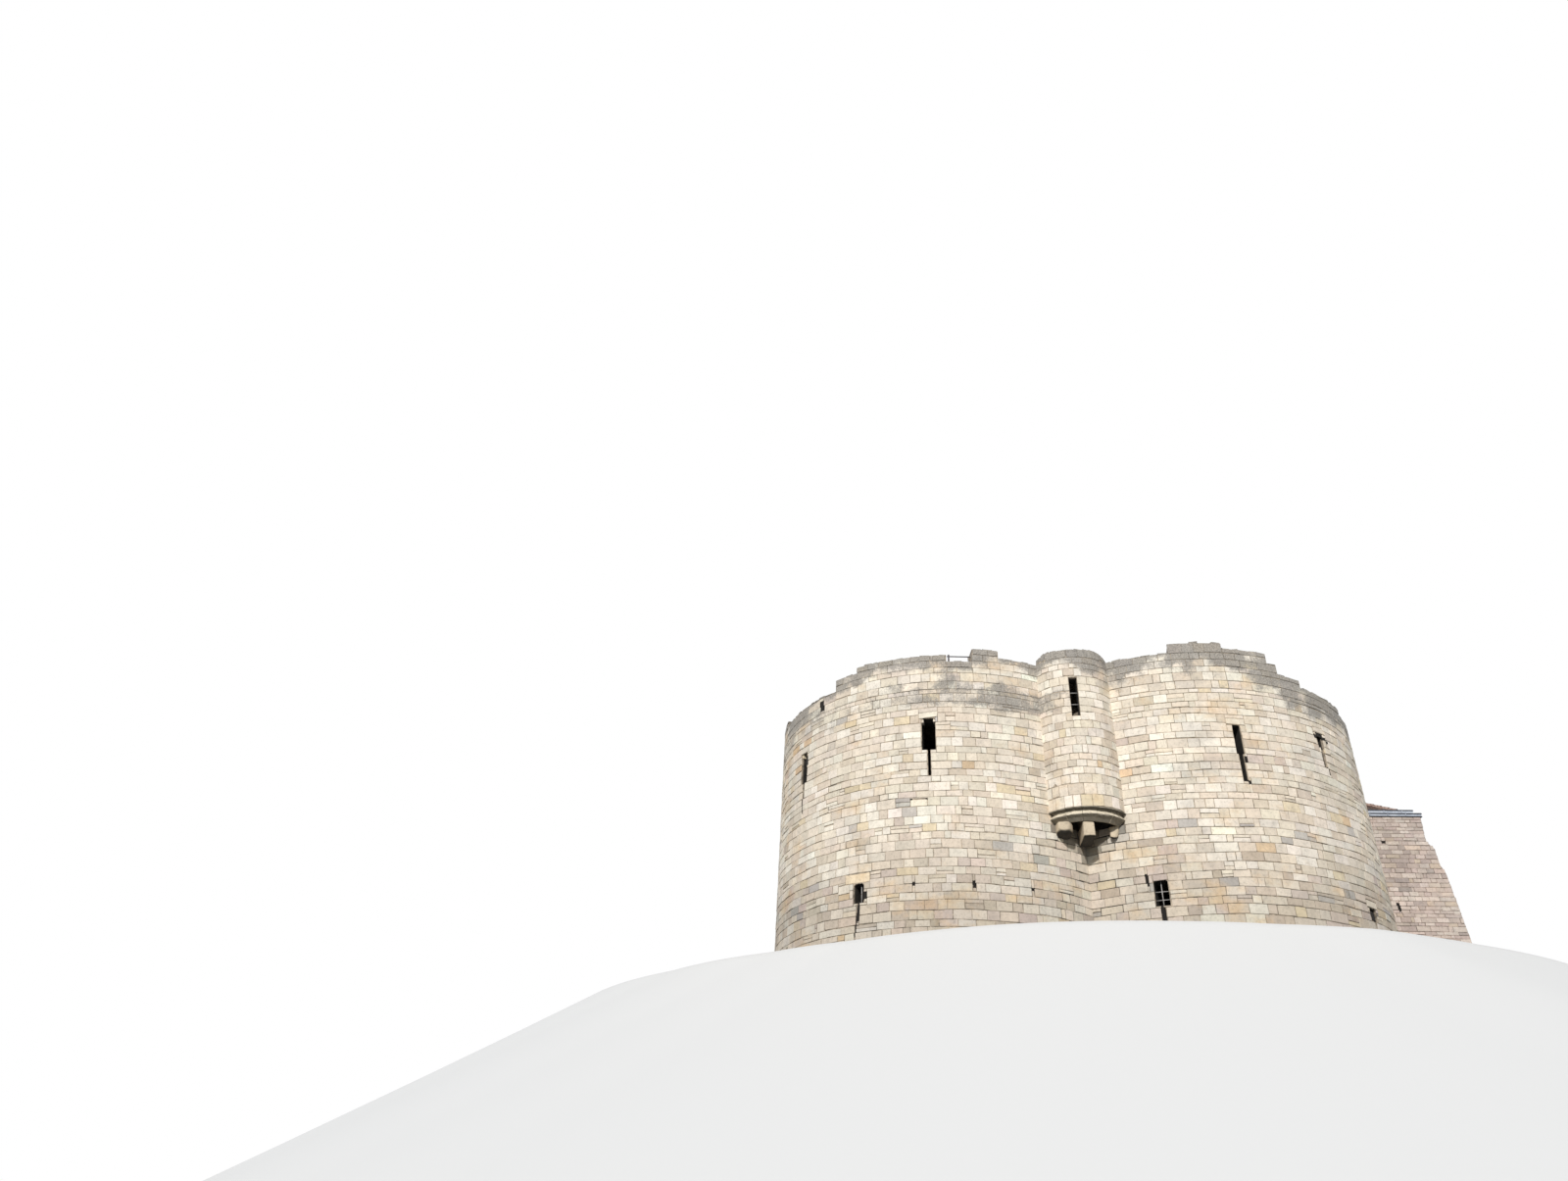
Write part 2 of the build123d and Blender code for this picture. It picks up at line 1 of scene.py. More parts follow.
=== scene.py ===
"""Dresses the quatrefoil castle keep: every stone of its faces, its tiles, lead, timber and iron.

Metres, +Z up, in the frame of the loaded model. The entrance faces -Y and the left side is -X.
Angles on a lobe are counted in degrees from the lobe's own axis, plus towards the left or right side.
"""

import math

import bmesh
import bpy
import numpy as np
from mathutils import Matrix, Vector


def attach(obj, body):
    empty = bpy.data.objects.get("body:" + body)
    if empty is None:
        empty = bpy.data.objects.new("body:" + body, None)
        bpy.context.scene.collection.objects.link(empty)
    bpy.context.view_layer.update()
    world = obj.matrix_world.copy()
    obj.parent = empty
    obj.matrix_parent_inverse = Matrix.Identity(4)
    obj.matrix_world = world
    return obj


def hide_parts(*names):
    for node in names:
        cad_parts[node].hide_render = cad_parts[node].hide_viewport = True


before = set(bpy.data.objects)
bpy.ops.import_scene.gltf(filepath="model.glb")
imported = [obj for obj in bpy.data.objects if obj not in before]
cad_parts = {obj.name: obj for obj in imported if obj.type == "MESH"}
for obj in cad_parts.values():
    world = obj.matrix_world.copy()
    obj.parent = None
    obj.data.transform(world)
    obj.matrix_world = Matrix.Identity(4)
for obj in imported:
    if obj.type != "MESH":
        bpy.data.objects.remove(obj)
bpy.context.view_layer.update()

# Plan and levels of the keep
LOBE_RADIUS = 6.19
LOBE_OFFSET = 5.81
LOBE_PLACE = LOBE_OFFSET / math.sqrt(2)
LOWER_HALF_WIDTH = 3.29
UPPER_HALF_WIDTH = 3.44
DECK_HALF_WIDTH = 3.79
PARAPET_THICKNESS = 0.55
GROUND_FLOOR = 0.30
UPPER_FLOOR = 4.60
WALL_TOP = 8.50
WALK_LEVEL = 8.65
DECK_LEVEL = 8.85
HIGHEST_TOP = 10.2
LOBES = {"back_left": (-1, 1), "front_left": (-1, -1), "front_right": (1, -1), "back_right": (1, 1)}

# A lobe's face. Loops and low windows: angle, head width, slit width, then the slit's foot, the head's foot
# and the top over the storey's floor. Wounds, broken places and putlog holes: angle, foot, top, width, lean
# to the plus side. Dressings, large stones round the openings: angle, width, foot, top. Steps of the broken
# parapet: from angle, to angle, height over the wall's top. Angles end at the arc's end, and on the inner
# face of a front lobe's parapet a little before it.
ARC_END = 90.0
INNER_CORNER_ANGLE = 88.0
BACK_LOBE = {
    "loops": [(37.4, 0.45, 0.09, 0.83, 1.72, 2.85), (-10.5, 0.38, 0.09, 1.04, 1.59, 2.75),
              (-50.0, 0.38, 0.09, 1.04, 1.59, 2.75)],
    "low_windows": [(15.0, 0.36, 0.06, 0.65, 1.20, 1.82)],
    "wounds": [(15.3, 0.50, 1.52, 0.030, -0.17), (17.0, 1.62, 1.84, 0.12, 0.02),
               (32.0, 1.87, 1.97, 0.09, 0.0), (48.7, 1.78, 2.00, 0.07, 0.06), (65.8, 1.85, 1.96, 0.09, 0.0),
               (-1.8, 8.62, 9.00, 0.20, 0.10), (-9.0, 6.85, 7.10, 0.14, 0.03),
               (-11.2, 5.10, 5.62, 0.05, 0.05), (34.0, 4.62, 4.65, 0.50, 0.0)],
    "dressings": [(14.6, 0.92, 2.13, 2.42), (9.8, 0.44, 1.86, 2.12), (37.4, 0.62, 7.46, 7.66),
                  (-10.5, 0.55, 7.36, 7.58)],
    "steps": [(60.1, ARC_END, 1.27), (51.7, 60.1, 1.55), (43.6, 51.7, 1.05), (14.0, 43.6, 1.30),
              (5.0, 14.0, 1.08), (-28.0, 5.0, 0.65), (-42.0, -28.0, 0.90), (-ARC_END, -42.0, 1.20)],
}
FRONT_LOBE = {
    "loops": [(38.2, 0.25, 0.15, 0.68, 1.60, 2.63), (8.5, 0.26, 0.13, 1.63, 2.30, 2.85),
              (-33.0, 0.25, 0.15, 0.68, 1.60, 2.63)],
    "low_windows": [(66.0, 0.42, 0.09, 0.73, 1.15, 1.95), (2.0, 0.35, 0.12, 0.95, 1.15, 1.55)],
    "wounds": [(66.4, 0.60, 1.47, 0.050, -0.05), (69.6, 2.10, 2.48, 0.06, -0.04),
               (3.6, 1.50, 1.72, 0.16, -0.12), (8.3, 7.15, 7.43, 0.13, -0.42), (9.0, 7.22, 7.45, 0.10, 0.22),
               (7.6, 6.0, 6.25, 0.06, -0.02), (37.3, 5.16, 5.30, 0.07, -0.02), (36.9, 5.94, 6.12, 0.05, 0.0),
               (72.0, 3.28, 3.32, 0.35, 0.0)],
    "dressings": [(38.2, 0.60, 7.24, 7.46), (2.0, 0.60, 1.86, 2.08), (8.5, 0.50, 7.46, 7.64)],
    "steps": [(54.0, ARC_END, 1.35), (38.0, 54.0, 1.70), (23.7, 38.0, 1.50), (20.5, 23.7, 1.15),
              (12.0, 20.5, 0.78), (-10.0, 12.0, 0.50), (-26.0, -10.0, 0.30), (-48.0, -26.0, 0.75),
              (-ARC_END, -48.0, 1.27)],
}
LOOP_JAG = 0.02
WINDOW_JAG = 0.05
SHOULDER_WIDTH = 0.09
SHOULDER_HEIGHT = 0.15

# Turrets: a window is width, sill and head; a hatch is its middle outwards and aside, and half its width
TURRET_RADIUS = 1.40
CORNER_REACH = LOBE_PLACE + math.sqrt(LOBE_RADIUS ** 2 - LOBE_PLACE ** 2)
TURRET_REACH = CORNER_REACH + 1.45
TURRET_PLACE = TURRET_REACH - TURRET_RADIUS
TURRET_HOLLOW = 1.0
TURRET_TOP = 10.05
TURRET_SHOULDER = 9.85
TURRET_AGE_TOP = TURRET_TOP - 0.12
TURRET_PLATFORM = 9.20
TURRET_HATCH = (-0.27, -0.52, 0.24)
CROWN_HALF_WIDTH = 0.90
CROWN_SLOPE = 0.65
TURRET_WINDOW = (0.27, 7.57, 8.98)
TURRET_WINDOW_SHIFT = 0.10
TURRETS = {"left_turret": 180.0, "right_turret": 0.0, "back_turret": 90.0}

# Moulded ring under a turret, and its corbels: place aside, width, setback, length, half height, rise over
# the ring's foot, squareness (low is square) and roughness
RING_TOP = 4.45
RING_FOOT = 4.05
RING_HALF_ANGLE = math.radians(96.0)
RING_STONES = 9
RING_JOINT_ANGLE = 0.004
RING_PROFILE = [(1.15, 0.40), (1.448, 0.40), (1.455, 0.385), (1.450, 0.362), (1.335, 0.342), (1.312, 0.300),
                (1.325, 0.256), (1.375, 0.236), (1.408, 0.206), (1.406, 0.168), (1.372, 0.140),
                (1.290, 0.095), (1.200, 0.0), (1.15, 0.0)]
CENTRE_CORBEL = (-0.04, 0.37, 0.22, 1.10, 0.25, 0.01, 0.16, 0.010)
LEFT_CORBEL = (-0.76, 0.50, 0.30, 0.95, 0.23, 0.09, 0.62, 0.016)
RIGHT_CORBEL = (0.76, *LEFT_CORBEL[1:])
BROKEN_CORBEL = (0.80, 0.26, 0.66, 0.95, 0.23, 0.09, 0.50, 0.045)
# Foot of the wedge of painted shadow and crust under a turret
SHADOW_WEDGE_FOOT = 3.0

# Forebuilding; its holes are as a lobe's wounds, with a run from the front in place of the angle
FORE_HALF_WIDTH = 3.35
FORE_WALL_TOP = 6.78
FORE_FRONT = 12.87
FORE_HOLES = [(1.41, 5.78, 5.90, 0.11, 0.0), (1.47, 3.32, 3.62, 0.08, -0.05)]
FORE_DOOR_RADIUS = 0.75
FORE_DOOR_SPRING = 2.0
FORE_WINDOW = (0.40, 5.30, 6.25)
ARCH_DEPTH = 0.34
BUTTRESS_WIDTH = 0.90
BUTTRESS_PROFILE = [(0.68, 0.0), (0.63, 2.29), (0.42, 4.80), (0.30, 5.00), (0.28, 5.60), (0.06, 5.86),
                    (0.10, FORE_WALL_TOP)]
BUTTRESS_OUTS, BUTTRESS_LEVELS = zip(*BUTTRESS_PROFILE)

# Lead eaves: inset and level of each step, half sizes of the lips and rolls, and how the rolls are set
LEAD_OVERHANG = 0.04
LEAD_STEPS = [(0.0, 6.91), (0.18, 7.10)]
LEAD_LIP = (0.030, 0.024)
LEAD_ROLL = (0.022, 0.026)
LIP_LENGTH = 0.35
ROLL_SPACING = 0.62
ROLL_RETURN = 0.24

# Tiled roof
ROOF_FOOT = 7.10
ROOF_HALF_WIDTH = FORE_HALF_WIDTH - 0.25
ROOF_FRONT = FORE_FRONT - 0.60 + LEAD_OVERHANG
ROOF_PITCH = math.radians(36.0)
TILE_WIDTH = 0.165
TILE_LENGTH = 0.20
TILE_GAUGE = 0.10
TILE_THICKNESS = 0.013
TILE_CAMBER = 0.005
TILE_ENDS = ((0.0, 0.036), (TILE_LENGTH, 0.006))
HIP_LENGTH = 0.28
HIP_RADII = (0.125, 0.100)
HIP_THICKNESS = 0.016
HIP_SUNK = 0.035

# Iron bars: radii, how deep they are set, how far they reach into the stone, and the shares of an opening's
# height at which the level ones lie
TURRET_BAR_RADIUS = 0.013
UPRIGHT_BAR_RADIUS = 0.016
CROSS_BAR_RADIUS = 0.012
TURRET_BAR_DEPTH = 0.13
LOW_BAR_DEPTH = 0.16
BAR_END = 0.03
UPRIGHT_BAR_END = 0.06
TURRET_BAR_SHARES = (0.33, 0.63)
CROSS_BAR_SHARES = (0.30, 0.62)

# Common stones: how far they stand proud, how rough and worn they are, joint and bevel, how deep they are
# set, the share of them with an open bed joint, and how many times as wide that one is
PROUD = (0.016, 0.030)
ROUGH = 0.0035
WEAR = 0.008
JOINT = 0.0065
BEVEL = 0.014
SINK = 0.02
OPEN_BEDS = 0.16
OPEN_BED_WIDTH = 3.0

# Laying: course heights, stone lengths, how joints keep apart, the smallest parts that are made, and the
# heights of the lifts that jagged openings and broken places are cut into
COURSE_HEIGHTS = (0.20, 0.32)
STONE_LENGTHS = (0.24, 0.66)
SPLIT_SHARE = 0.07
SPLIT_HEIGHT = 0.17
COURSE_SWAY = 0.016
FORE_COURSES = (0.11, 0.19)
FORE_LENGTHS = (0.18, 0.46)
TURRET_LENGTHS = (0.22, 0.44)
CAP_LENGTHS = (0.18, 0.42)
TURRET_CAP_LENGTHS = (0.18, 0.34)
RISER_COURSES = (0.16, 0.20)
WEDGE_WIDTHS = (0.26, 0.34)
BOARD_WIDTHS = (0.19, 0.25)
BOARD_LENGTHS = (2.2, 4.4)
FLAG_WIDTHS = (0.42, 0.58)
FLAG_LENGTHS = (0.5, 1.0)
WALK_FLAG_LENGTHS = (0.55, 1.0)
WALK_RINGS = 4
CORNER_WIDTHS = (0.40, 0.52)
CORNER_LENGTHS = (0.45, 0.8)
PLATFORM_LENGTHS = (0.35, 0.6)
NARROWEST_STONE = 0.045
NARROWEST_STEP = 1.0
LOWEST_STONE = 0.07
THINNEST_BED = 0.04
THINNEST_PART = 0.03
SHORTEST_LAP = 0.06
LAP_SHIFT = 0.09
LIFT_HEIGHT = 0.28
WOUND_LIFT = 0.10
HOLLOW_MARGIN = (-0.03, 0.03, -0.02, 0.02)
CORNER_SEED = 209

# Stones that aren't common ones: what changes for them in the function blocks
DRESSED = {"proud": (0.022, 0.030), "open_beds": 0.0}
SHOULDERS = {"proud": (-0.03, -0.01), "sink": 0.25, "open_beds": 0.0}
HOLE_SHADE_SHEETS = {"proud": (0.003, 0.004), "rough": 0.0, "wear": 0.0, "joint": 0.0, "open_beds": 0.0}
CAPS = {"proud": (0.004, 0.055), "rough": 0.012, "wear": 0.022, "bevel": 0.04}
TURRET_CAPS = {"proud": (0.004, 0.05), "rough": 0.010, "wear": 0.022, "bevel": 0.035,
               "sink": TURRET_TOP - TURRET_SHOULDER}
RUBBLE = {"proud": (0.012, 0.026), "rough": 0.005, "wear": 0.008, "bevel": 0.012, "joint": 0.0055,
          "open_beds": 0.03}
ARCH_STONES = {"proud": (0.045, 0.055), "rough": 0.003, "wear": 0.008, "bevel": 0.018, "open_beds": 0.0}
FLAGS = {"proud": (0.004, 0.010), "rough": 0.0015, "wear": 0.004, "bevel": 0.014, "sink": 0.01,
         "open_beds": 0.0}
BOARDS = {"proud": (0.006, 0.009), "rough": 0.0006, "wear": 0.002, "bevel": 0.006, "joint": 0.0025,
          "sink": 0.005, "open_beds": 0.0}

# Age of the stones: it is counted down from a top level, which lies far up where nothing is aged and a
# little above paving; the band of soot under the parapet rises and falls between two pairs of levels
UNAGED_TOP = 20.0
TOP_OVER_PAVING = 1.6
BAND_RISE = (7.55, 7.95)
BAND_FALL = (8.72, 8.92)

# Photograph: its camera, and the pixels of the crest that hides the foot of the walls
IMAGE_SIZE = (1600, 1205)
FOCAL_PIXELS = 1107.66
CAMERA_PLACE = (-43.150, 5.948, -8.35)
CAMERA_YAW = 0.121087
CAMERA_PITCH = 0.562178
CAMERA_ROLL = 0.0523673
CREST_PIXELS = [(600, 1020), (690, 990), (792, 971), (870, 960), (957, 949), (1050, 942), (1110, 940),
                (1200, 940), (1300, 943), (1400, 948), (1450, 955), (1500, 963), (1600, 985)]

# Stage and light: outside the photograph's view the level ground ends in a circle, reached within a margin
GROUND_LEVEL = -0.004
GROUND_REACH = 18.0
CREST_MARGIN = math.radians(35.0)
GROUND_SLOPE = math.radians(30.0)
GROUND_DEPTH = 13.0
SUN_BEARING = math.radians(168.0)
SUN_HEIGHT = math.radians(26.0)
SUN_STRENGTH = 2.92
SUN_COLOUR = (1.0, 0.975, 0.95)
SKY_STRENGTH = 0.46
SKY_COLOUR = (0.86, 0.92, 1.0, 1.0)

# The upward direction
UP = np.array([0.0, 0.0, 1.0])


# Colours and small arithmetic

def linear(red, green, blue):
    """A colour of 0 to 255 steps as the linear values that shaders take."""
    steps = np.array((red, green, blue)) / 255.0
    low = steps / 12.92
    high = ((steps + 0.055) / 1.055) ** 2.4
    return np.where(steps <= 0.04045, low, high)


def palette(*colours):
    """Several colours of 0 to 255 steps as rows of linear values."""
    return np.array([linear(*colour) for colour in colours])


def shade(red, green, blue):
    """A colour of 0 to 255 steps with full cover, for a shader's input."""
    return (*[float(part) for part in linear(red, green, blue)], 1.0)


def smooth_step(value, low, high):
    """0 below low, 1 above high, and an even S-shaped rise between them."""
    part = np.clip((value - low) / (high - low), 0.0, 1.0)
    return part * part * (3.0 - 2.0 * part)


def waves(points, size, seed):
    """A smooth field of about -1 to 1: the mean of sines along random directions, about a size long."""
    rng = np.random.default_rng(seed)
    count = 7
    directions = rng.normal(size=(count, 3))
    directions /= np.linalg.norm(directions, axis=1)[:, None]
    lengths = size * rng.uniform(0.6, 1.6, count)
    phases = rng.uniform(0.0, 2.0 * math.pi, count)
    swing = points @ (directions / lengths[:, None]).T * 2.0 * math.pi + phases
    return np.sin(swing).sum(axis=-1) / math.sqrt(count)


STONE_COLOURS = palette((243, 234, 218), (237, 225, 206), (230, 216, 196), (220, 205, 185), (232, 215, 184),
                        (227, 200, 165), (222, 206, 192), (198, 191, 182), (202, 187, 167))
PALE, CREAM, BUFF, SAND, YELLOW, ORANGE, PINK, GREY, BROWN = range(len(STONE_COLOURS))
FORE_COLOURS = palette((220, 206, 194), (208, 192, 180), (201, 184, 173), (192, 176, 166), (180, 167, 159),
                       (208, 190, 172))
FORE_SHARES = (0.22, 0.36, 0.24, 0.10, 0.02, 0.06)
DRESSING_COLOURS = palette((238, 220, 188), (236, 224, 204), (240, 229, 210))
PAVING_COLOURS = palette((196, 184, 164), (182, 170, 152), (170, 160, 146))
# Tiles: dark browns, the clay's colour with the roof slope's shade painted in
TILE_COLOURS_WITH_SHADE = palette((104, 80, 70), (92, 72, 64), (114, 88, 74), (84, 71, 66), (108, 92, 82))
OAK_COLOURS = palette((150, 128, 102), (138, 118, 96), (160, 140, 116), (126, 108, 88))

# How far the brightness of single pieces varies, and the share of that by which their warmth does
STONE_SPREAD = 0.065
EVEN_SPREAD = 0.06
WARMTH_SHARE = 0.14


# Surfaces: each turns a run along the wall and a level into places and outward directions

def swayed(place):
    """Levels that rise and sink in long waves, as hand-laid courses do, fading to the foot and the top."""
    level = place[..., 2]
    hold = smooth_step(level, 0.0, 0.8) * (1.0 - smooth_step(level, WALL_TOP - 0.9, WALL_TOP - 0.3))
    return level + COURSE_SWAY * hold * (waves(place, 2.6, 31) + 0.5 * waves(place, 0.9, 32))


def round_face(centre, radius, start, turn, outward=1.0):
    """An upright cylinder: the run is the radius times the angle from the start, turning one way."""
    def at(run, level):
        angle = start + turn * run / radius
        ray = np.stack([np.cos(angle), np.sin(angle), np.zeros_like(angle)], axis=-1)
        place = ray * radius
        place[..., 0] += centre[0]
        place[..., 1] += centre[1]
        place[..., 2] += level
        place[..., 2] = swayed(place)
        return place, ray * outward
    return at


def flat_face(start, along, outward, profile=((0.0, 0.0), (0.0, 20.0))):
    """An upright plane that may lean: the run goes along it, and its front steps out as a profile says."""
    start, along, outward = np.array(start), np.array(along), np.array(outward)
    outs, levels = np.array(profile).T

    def at(run, level):
        step = 0.02
        out = np.interp(level, levels, outs)
        slope = (np.interp(level + step, levels, outs) - out) / step
        place = start + run[..., None] * along + out[..., None] * outward
        place[..., 2] += level
        facing = np.broadcast_to(outward, place.shape).copy()
        facing[..., 2] -= slope
        return place, facing / np.linalg.norm(facing, axis=-1)[..., None]
    return at


def ring_top(centre, radius, start, turn, height, dome=(0.0, 0.0, 1.0)):
    """A ring sector seen from above: the run is the arc at the radius, the level the distance inwards.

    A dome (rise, half of its flat middle, half of its foot) lifts the height around the run's start.
    """
    rise, middle, foot = dome

    def at(run, level):
        angle = start + turn * run / radius
        reach = radius - level
        lifted = height + rise * (1.0 - smooth_step(np.abs(run), middle, foot))
        place = np.stack([centre[0] + reach * np.cos(angle), centre[1] + reach * np.sin(angle), lifted],
                         axis=-1)
        facing = np.zeros_like(place)
        facing[..., 2] = 1.0
        return place, facing
    return at


def floor_face(start, along, inward):
    """A level plane: the run goes along it and the level inwards."""
    start, along, inward = np.array(start), np.array(along), np.array(inward)
    facing = np.cross(along, inward)
    facing = -facing if facing[2] < 0 else facing

    def at(run, level):
        place = start + run[..., None] * along + level[..., None] * inward
        return place, np.broadcast_to(facing, place.shape).copy()
    return at


def fan_face(centre, along, outward):
    """An upright flat ring about an arch's centre: the run is the angle, the level the distance out."""
    centre, along, outward = np.array(centre), np.array(along), np.array(outward)

    def at(run, level):
        place = centre + (level * np.cos(run))[..., None] * along
        place[..., 2] += level * np.sin(run)
        return place, np.broadcast_to(outward, place.shape).copy()
    return at


# Laying: rectangles of run and level, course by course, around the openings

def courses(low, high, heights, rng):
    """Levels of bed joints from low to high, with random course heights, the last one fitted."""
    levels = [low]
    while levels[-1] < high - heights[0] * 0.6:
        levels.append(levels[-1] + rng.uniform(*heights))
    levels[-1] = high
    return list(zip(levels[:-1], levels[1:]))


def split_run(start, end, lengths, earlier, rng):
    """Cuts a run into stones of random length whose upright joints miss those of the course below."""
    mean = sum(lengths) / 2
    count = max(1, round((end - start) / mean))
    shares = rng.uniform(lengths[0], lengths[1], count)
    cuts = start + (end - start) * np.concatenate([[0.0], np.cumsum(shares) / shares.sum()])
    for index in range(1, count):
        near = [joint for joint in earlier if abs(joint - cuts[index]) < SHORTEST_LAP]
        if near:
            cuts[index] += LAP_SHIFT if cuts[index] >= near[0] else -LAP_SHIFT
    return cuts


def gaps_between(start, end, blocked):
    """The stretches of a run that no blocked stretch covers."""
    free = []
    here = start
    for low, high in sorted(blocked):
        if low > here:
            free.append((here, min(low, end)))
        here = max(here, high)
    if here < end:
        free.append((here, end))
    return [(low, high) for low, high in free if high - low > NARROWEST_STONE]


def split_some(stones, share, rng):
    """Lays two thin stones, one over the other, in the place of a share of the stones."""
    halves = []
    for left, right, low, high in stones:
        if rng.uniform() < share and high - low > SPLIT_HEIGHT:
            middle = low + (high - low) * rng.uniform(0.38, 0.62)
            halves += [(left, right, low, middle), (left, right, middle, high)]
        else:
            halves.append((left, right, low, high))
    return np.array(halves)


def lay(rows, spans, openings, lengths, rng):
    """Rectangles (run, run, level, level) of every stone.

    A span is (start, end, top), given once for all rows or as a function of the row. An opening is a list
    of parts (low, high, left, right); beside a part that fills only some of a row, the row is packed with
    smaller stones.
    """
    found = []
    earlier = []
    for low, high in rows:
        joints = []
        for start, end, top in spans(low, high) if callable(spans) else spans:
            crest = min(high, top)
            if crest - low < LOWEST_STONE:
                continue
            parts = [part for opening in openings for part in opening
                     if min(part[1], crest) - max(part[0], low) > THINNEST_PART
                     and part[3] > start and part[2] < end]
            windows = [(part[2], part[3]) for part in parts]
            for left, right in gaps_between(start, end, windows):
                cuts = split_run(left, right, lengths, earlier, rng)
                joints.extend(cuts)
                found.extend((a, b, low, crest) for a, b in zip(cuts[:-1], cuts[1:]))
            for left, right in merged(windows):
                inside = [part for part in parts if part[2] < right and part[3] > left]
                edges = sorted({low, crest} | {edge for part in inside for edge in part[:2]
                                               if low + THINNEST_BED < edge < crest - THINNEST_BED})
                for foot, head in zip(edges[:-1], edges[1:]):
                    middle = (foot + head) / 2
                    shut = [(part[2], part[3]) for part in inside if part[0] < middle < part[1]]
                    found.extend((a, b, foot, head)
                                 for a, b in gaps_between(max(left, start), min(right, end), shut))
        earlier = joints
    return np.array(found)


def merged(stretches):
    """The stretches with those that overlap joined."""
    joined = []
    for low, high in sorted(stretches):
        if joined and low <= joined[-1][1]:
            joined[-1][1] = max(joined[-1][1], high)
        else:
            joined.append([low, high])
    return joined


# Stones: each is a closed block with a worn, slightly crowned face, on four by four points

FRONT = np.arange(16).reshape(4, 4)
AROUND = np.concatenate([FRONT[0, :], FRONT[1:, 3], FRONT[3, 2::-1], FRONT[2:0:-1, 0]])
FRONT_FACES = np.stack([FRONT[:-1, :-1], FRONT[:-1, 1:], FRONT[1:, 1:], FRONT[1:, :-1]], axis=-1)
RIM = 16 + np.arange(len(AROUND))
SIDE_FACES = np.stack([AROUND, RIM, np.roll(RIM, -1), np.roll(AROUND, -1)], axis=-1)
BLOCK_FACES = np.concatenate([FRONT_FACES.reshape(-1, 4), SIDE_FACES])
BACK_FACE = RIM[::-1]
BLOCK_POINTS = 16 + len(AROUND)
INNER = np.zeros((4, 4))
INNER[1:3, 1:3] = 1.0


def blocks(surface, stones, rng, proud=PROUD, rough=ROUGH, joint=JOINT, bevel=BEVEL, sink=SINK, wear=WEAR,
           open_beds=OPEN_BEDS):
    """Places of the points of every stone, and how far inside its edges each point is.

    A stone's lines stand a joint in from its rectangle and a bevel further in. The outer lines lie
    lower by the wear; the face is tilted a little and crowned; the rim lies below the wall's face.
    A share of the stones has an open bed joint, washed out to several times the joint.
    """
    count = len(stones)
    left, right, foot, head = stones.T
    smaller = np.minimum(right - left, head - foot)
    trim = np.minimum(joint * rng.uniform(0.6, 1.6, count), 0.2 * smaller)
    edge = np.minimum(bevel, 0.22 * smaller)
    bed = trim * np.where(rng.uniform(size=count) < open_beds, OPEN_BED_WIDTH, 1.0)
    runs = np.stack([left + trim, left + trim + edge, right - trim - edge, right - trim], axis=1)
    levels = np.stack([foot + bed, foot + bed + edge, head - trim - edge, head - trim], axis=1)
    run = np.repeat(runs[:, None, :], 4, axis=1) + rng.normal(0.0, rough * 0.8, (count, 4, 4))
    level = np.repeat(levels[:, :, None], 4, axis=2) + rng.normal(0.0, rough * 0.8, (count, 4, 4))
    corner = edge * 0.35
    for row, col, to_right, to_top in ((0, 0, 1, 1), (0, 3, -1, 1), (3, 0, 1, -1), (3, 3, -1, -1)):
        run[:, row, col] += to_right * corner * rng.uniform(0.2, 1.2, count)
        level[:, row, col] += to_top * corner * rng.uniform(0.2, 1.2, count)
    across = np.linspace(-1.0, 1.0, 4)
    depth = rng.uniform(*proud, count)[:, None, None]
    depth = depth + rng.normal(0.0, rough, (count, 1, 1)) * across[None, None, :]
    depth = depth + rng.normal(0.0, rough, (count, 1, 1)) * across[None, :, None]
    depth = depth + rng.normal(0.0, rough * 0.6, (count, 4, 4))
    depth = depth - wear * (1.0 - INNER) * rng.uniform(0.5, 1.3, (count, 4, 4))

    def with_rim(values, rim):
        return np.concatenate([values.reshape(count, 16), np.broadcast_to(rim, (count, len(AROUND)))], axis=1)

    place, facing = surface(with_rim(run, run.reshape(count, 16)[:, AROUND]),
                            with_rim(level, level.reshape(count, 16)[:, AROUND]))
    inside = with_rim(np.broadcast_to(INNER, (count, 4, 4)), -1.0)
    return place + facing * with_rim(depth, -sink)[..., None], inside


def turned_right(surface):
    """True where run, level and outward direction turn the same way as X, Y and Z."""
    here, facing = surface(np.array([0.0]), np.array([1.0]))
    along = surface(np.array([0.01]), np.array([1.0]))[0] - here
    up = surface(np.array([0.0]), np.array([1.01]))[0] - here
    return float((np.cross(along, up) * facing).sum()) > 0


def pick_colours(places, weights, colours, rng, spread):
    """One colour a stone: a random pick by weight, then a small change of brightness and warmth."""
    totals = np.cumsum(weights, axis=1)
    draws = rng.uniform(0.0, 1.0, len(places)) * totals[:, -1]
    chosen = (totals < draws[:, None]).sum(axis=1)
    base = colours[np.minimum(chosen, len(colours) - 1)]
    bright = 1.0 + rng.normal(0.0, spread, (len(places), 1))
    warm = 1.0 + rng.normal(0.0, spread * WARMTH_SHARE, (len(places), 3))
    return np.clip(base * bright * warm, 0.0, 1.0)


def clusters(places, size, seed, least):
    """1 in the few places where a smooth field drawn out along the courses is above a least value, else 0."""
    field = waves(places * (1.0, 1.0, 2.4), size, seed) + 0.5 * waves(places, size / 3, seed + 1)
    return smooth_step(field, least, least + 0.35)


def turret_shadow_and_crust(places):
    """1 in the wedge under a turret, narrowing downwards, for its painted shadow and crust; 0 elsewhere."""
    aside = np.abs(places[:, :2])
    reach, beside = aside.max(axis=1), aside.min(axis=1)
    wedge = smooth_step(places[:, 2] - 0.75 * beside, SHADOW_WEDGE_FOOT - 0.1, SHADOW_WEDGE_FOOT + 0.25)
    near = (reach > CORNER_REACH - 1.0) & (beside < 1.15) & (places[:, 2] < RING_TOP)
    return wedge * near * (places[:, 1] > -LOBE_PLACE)


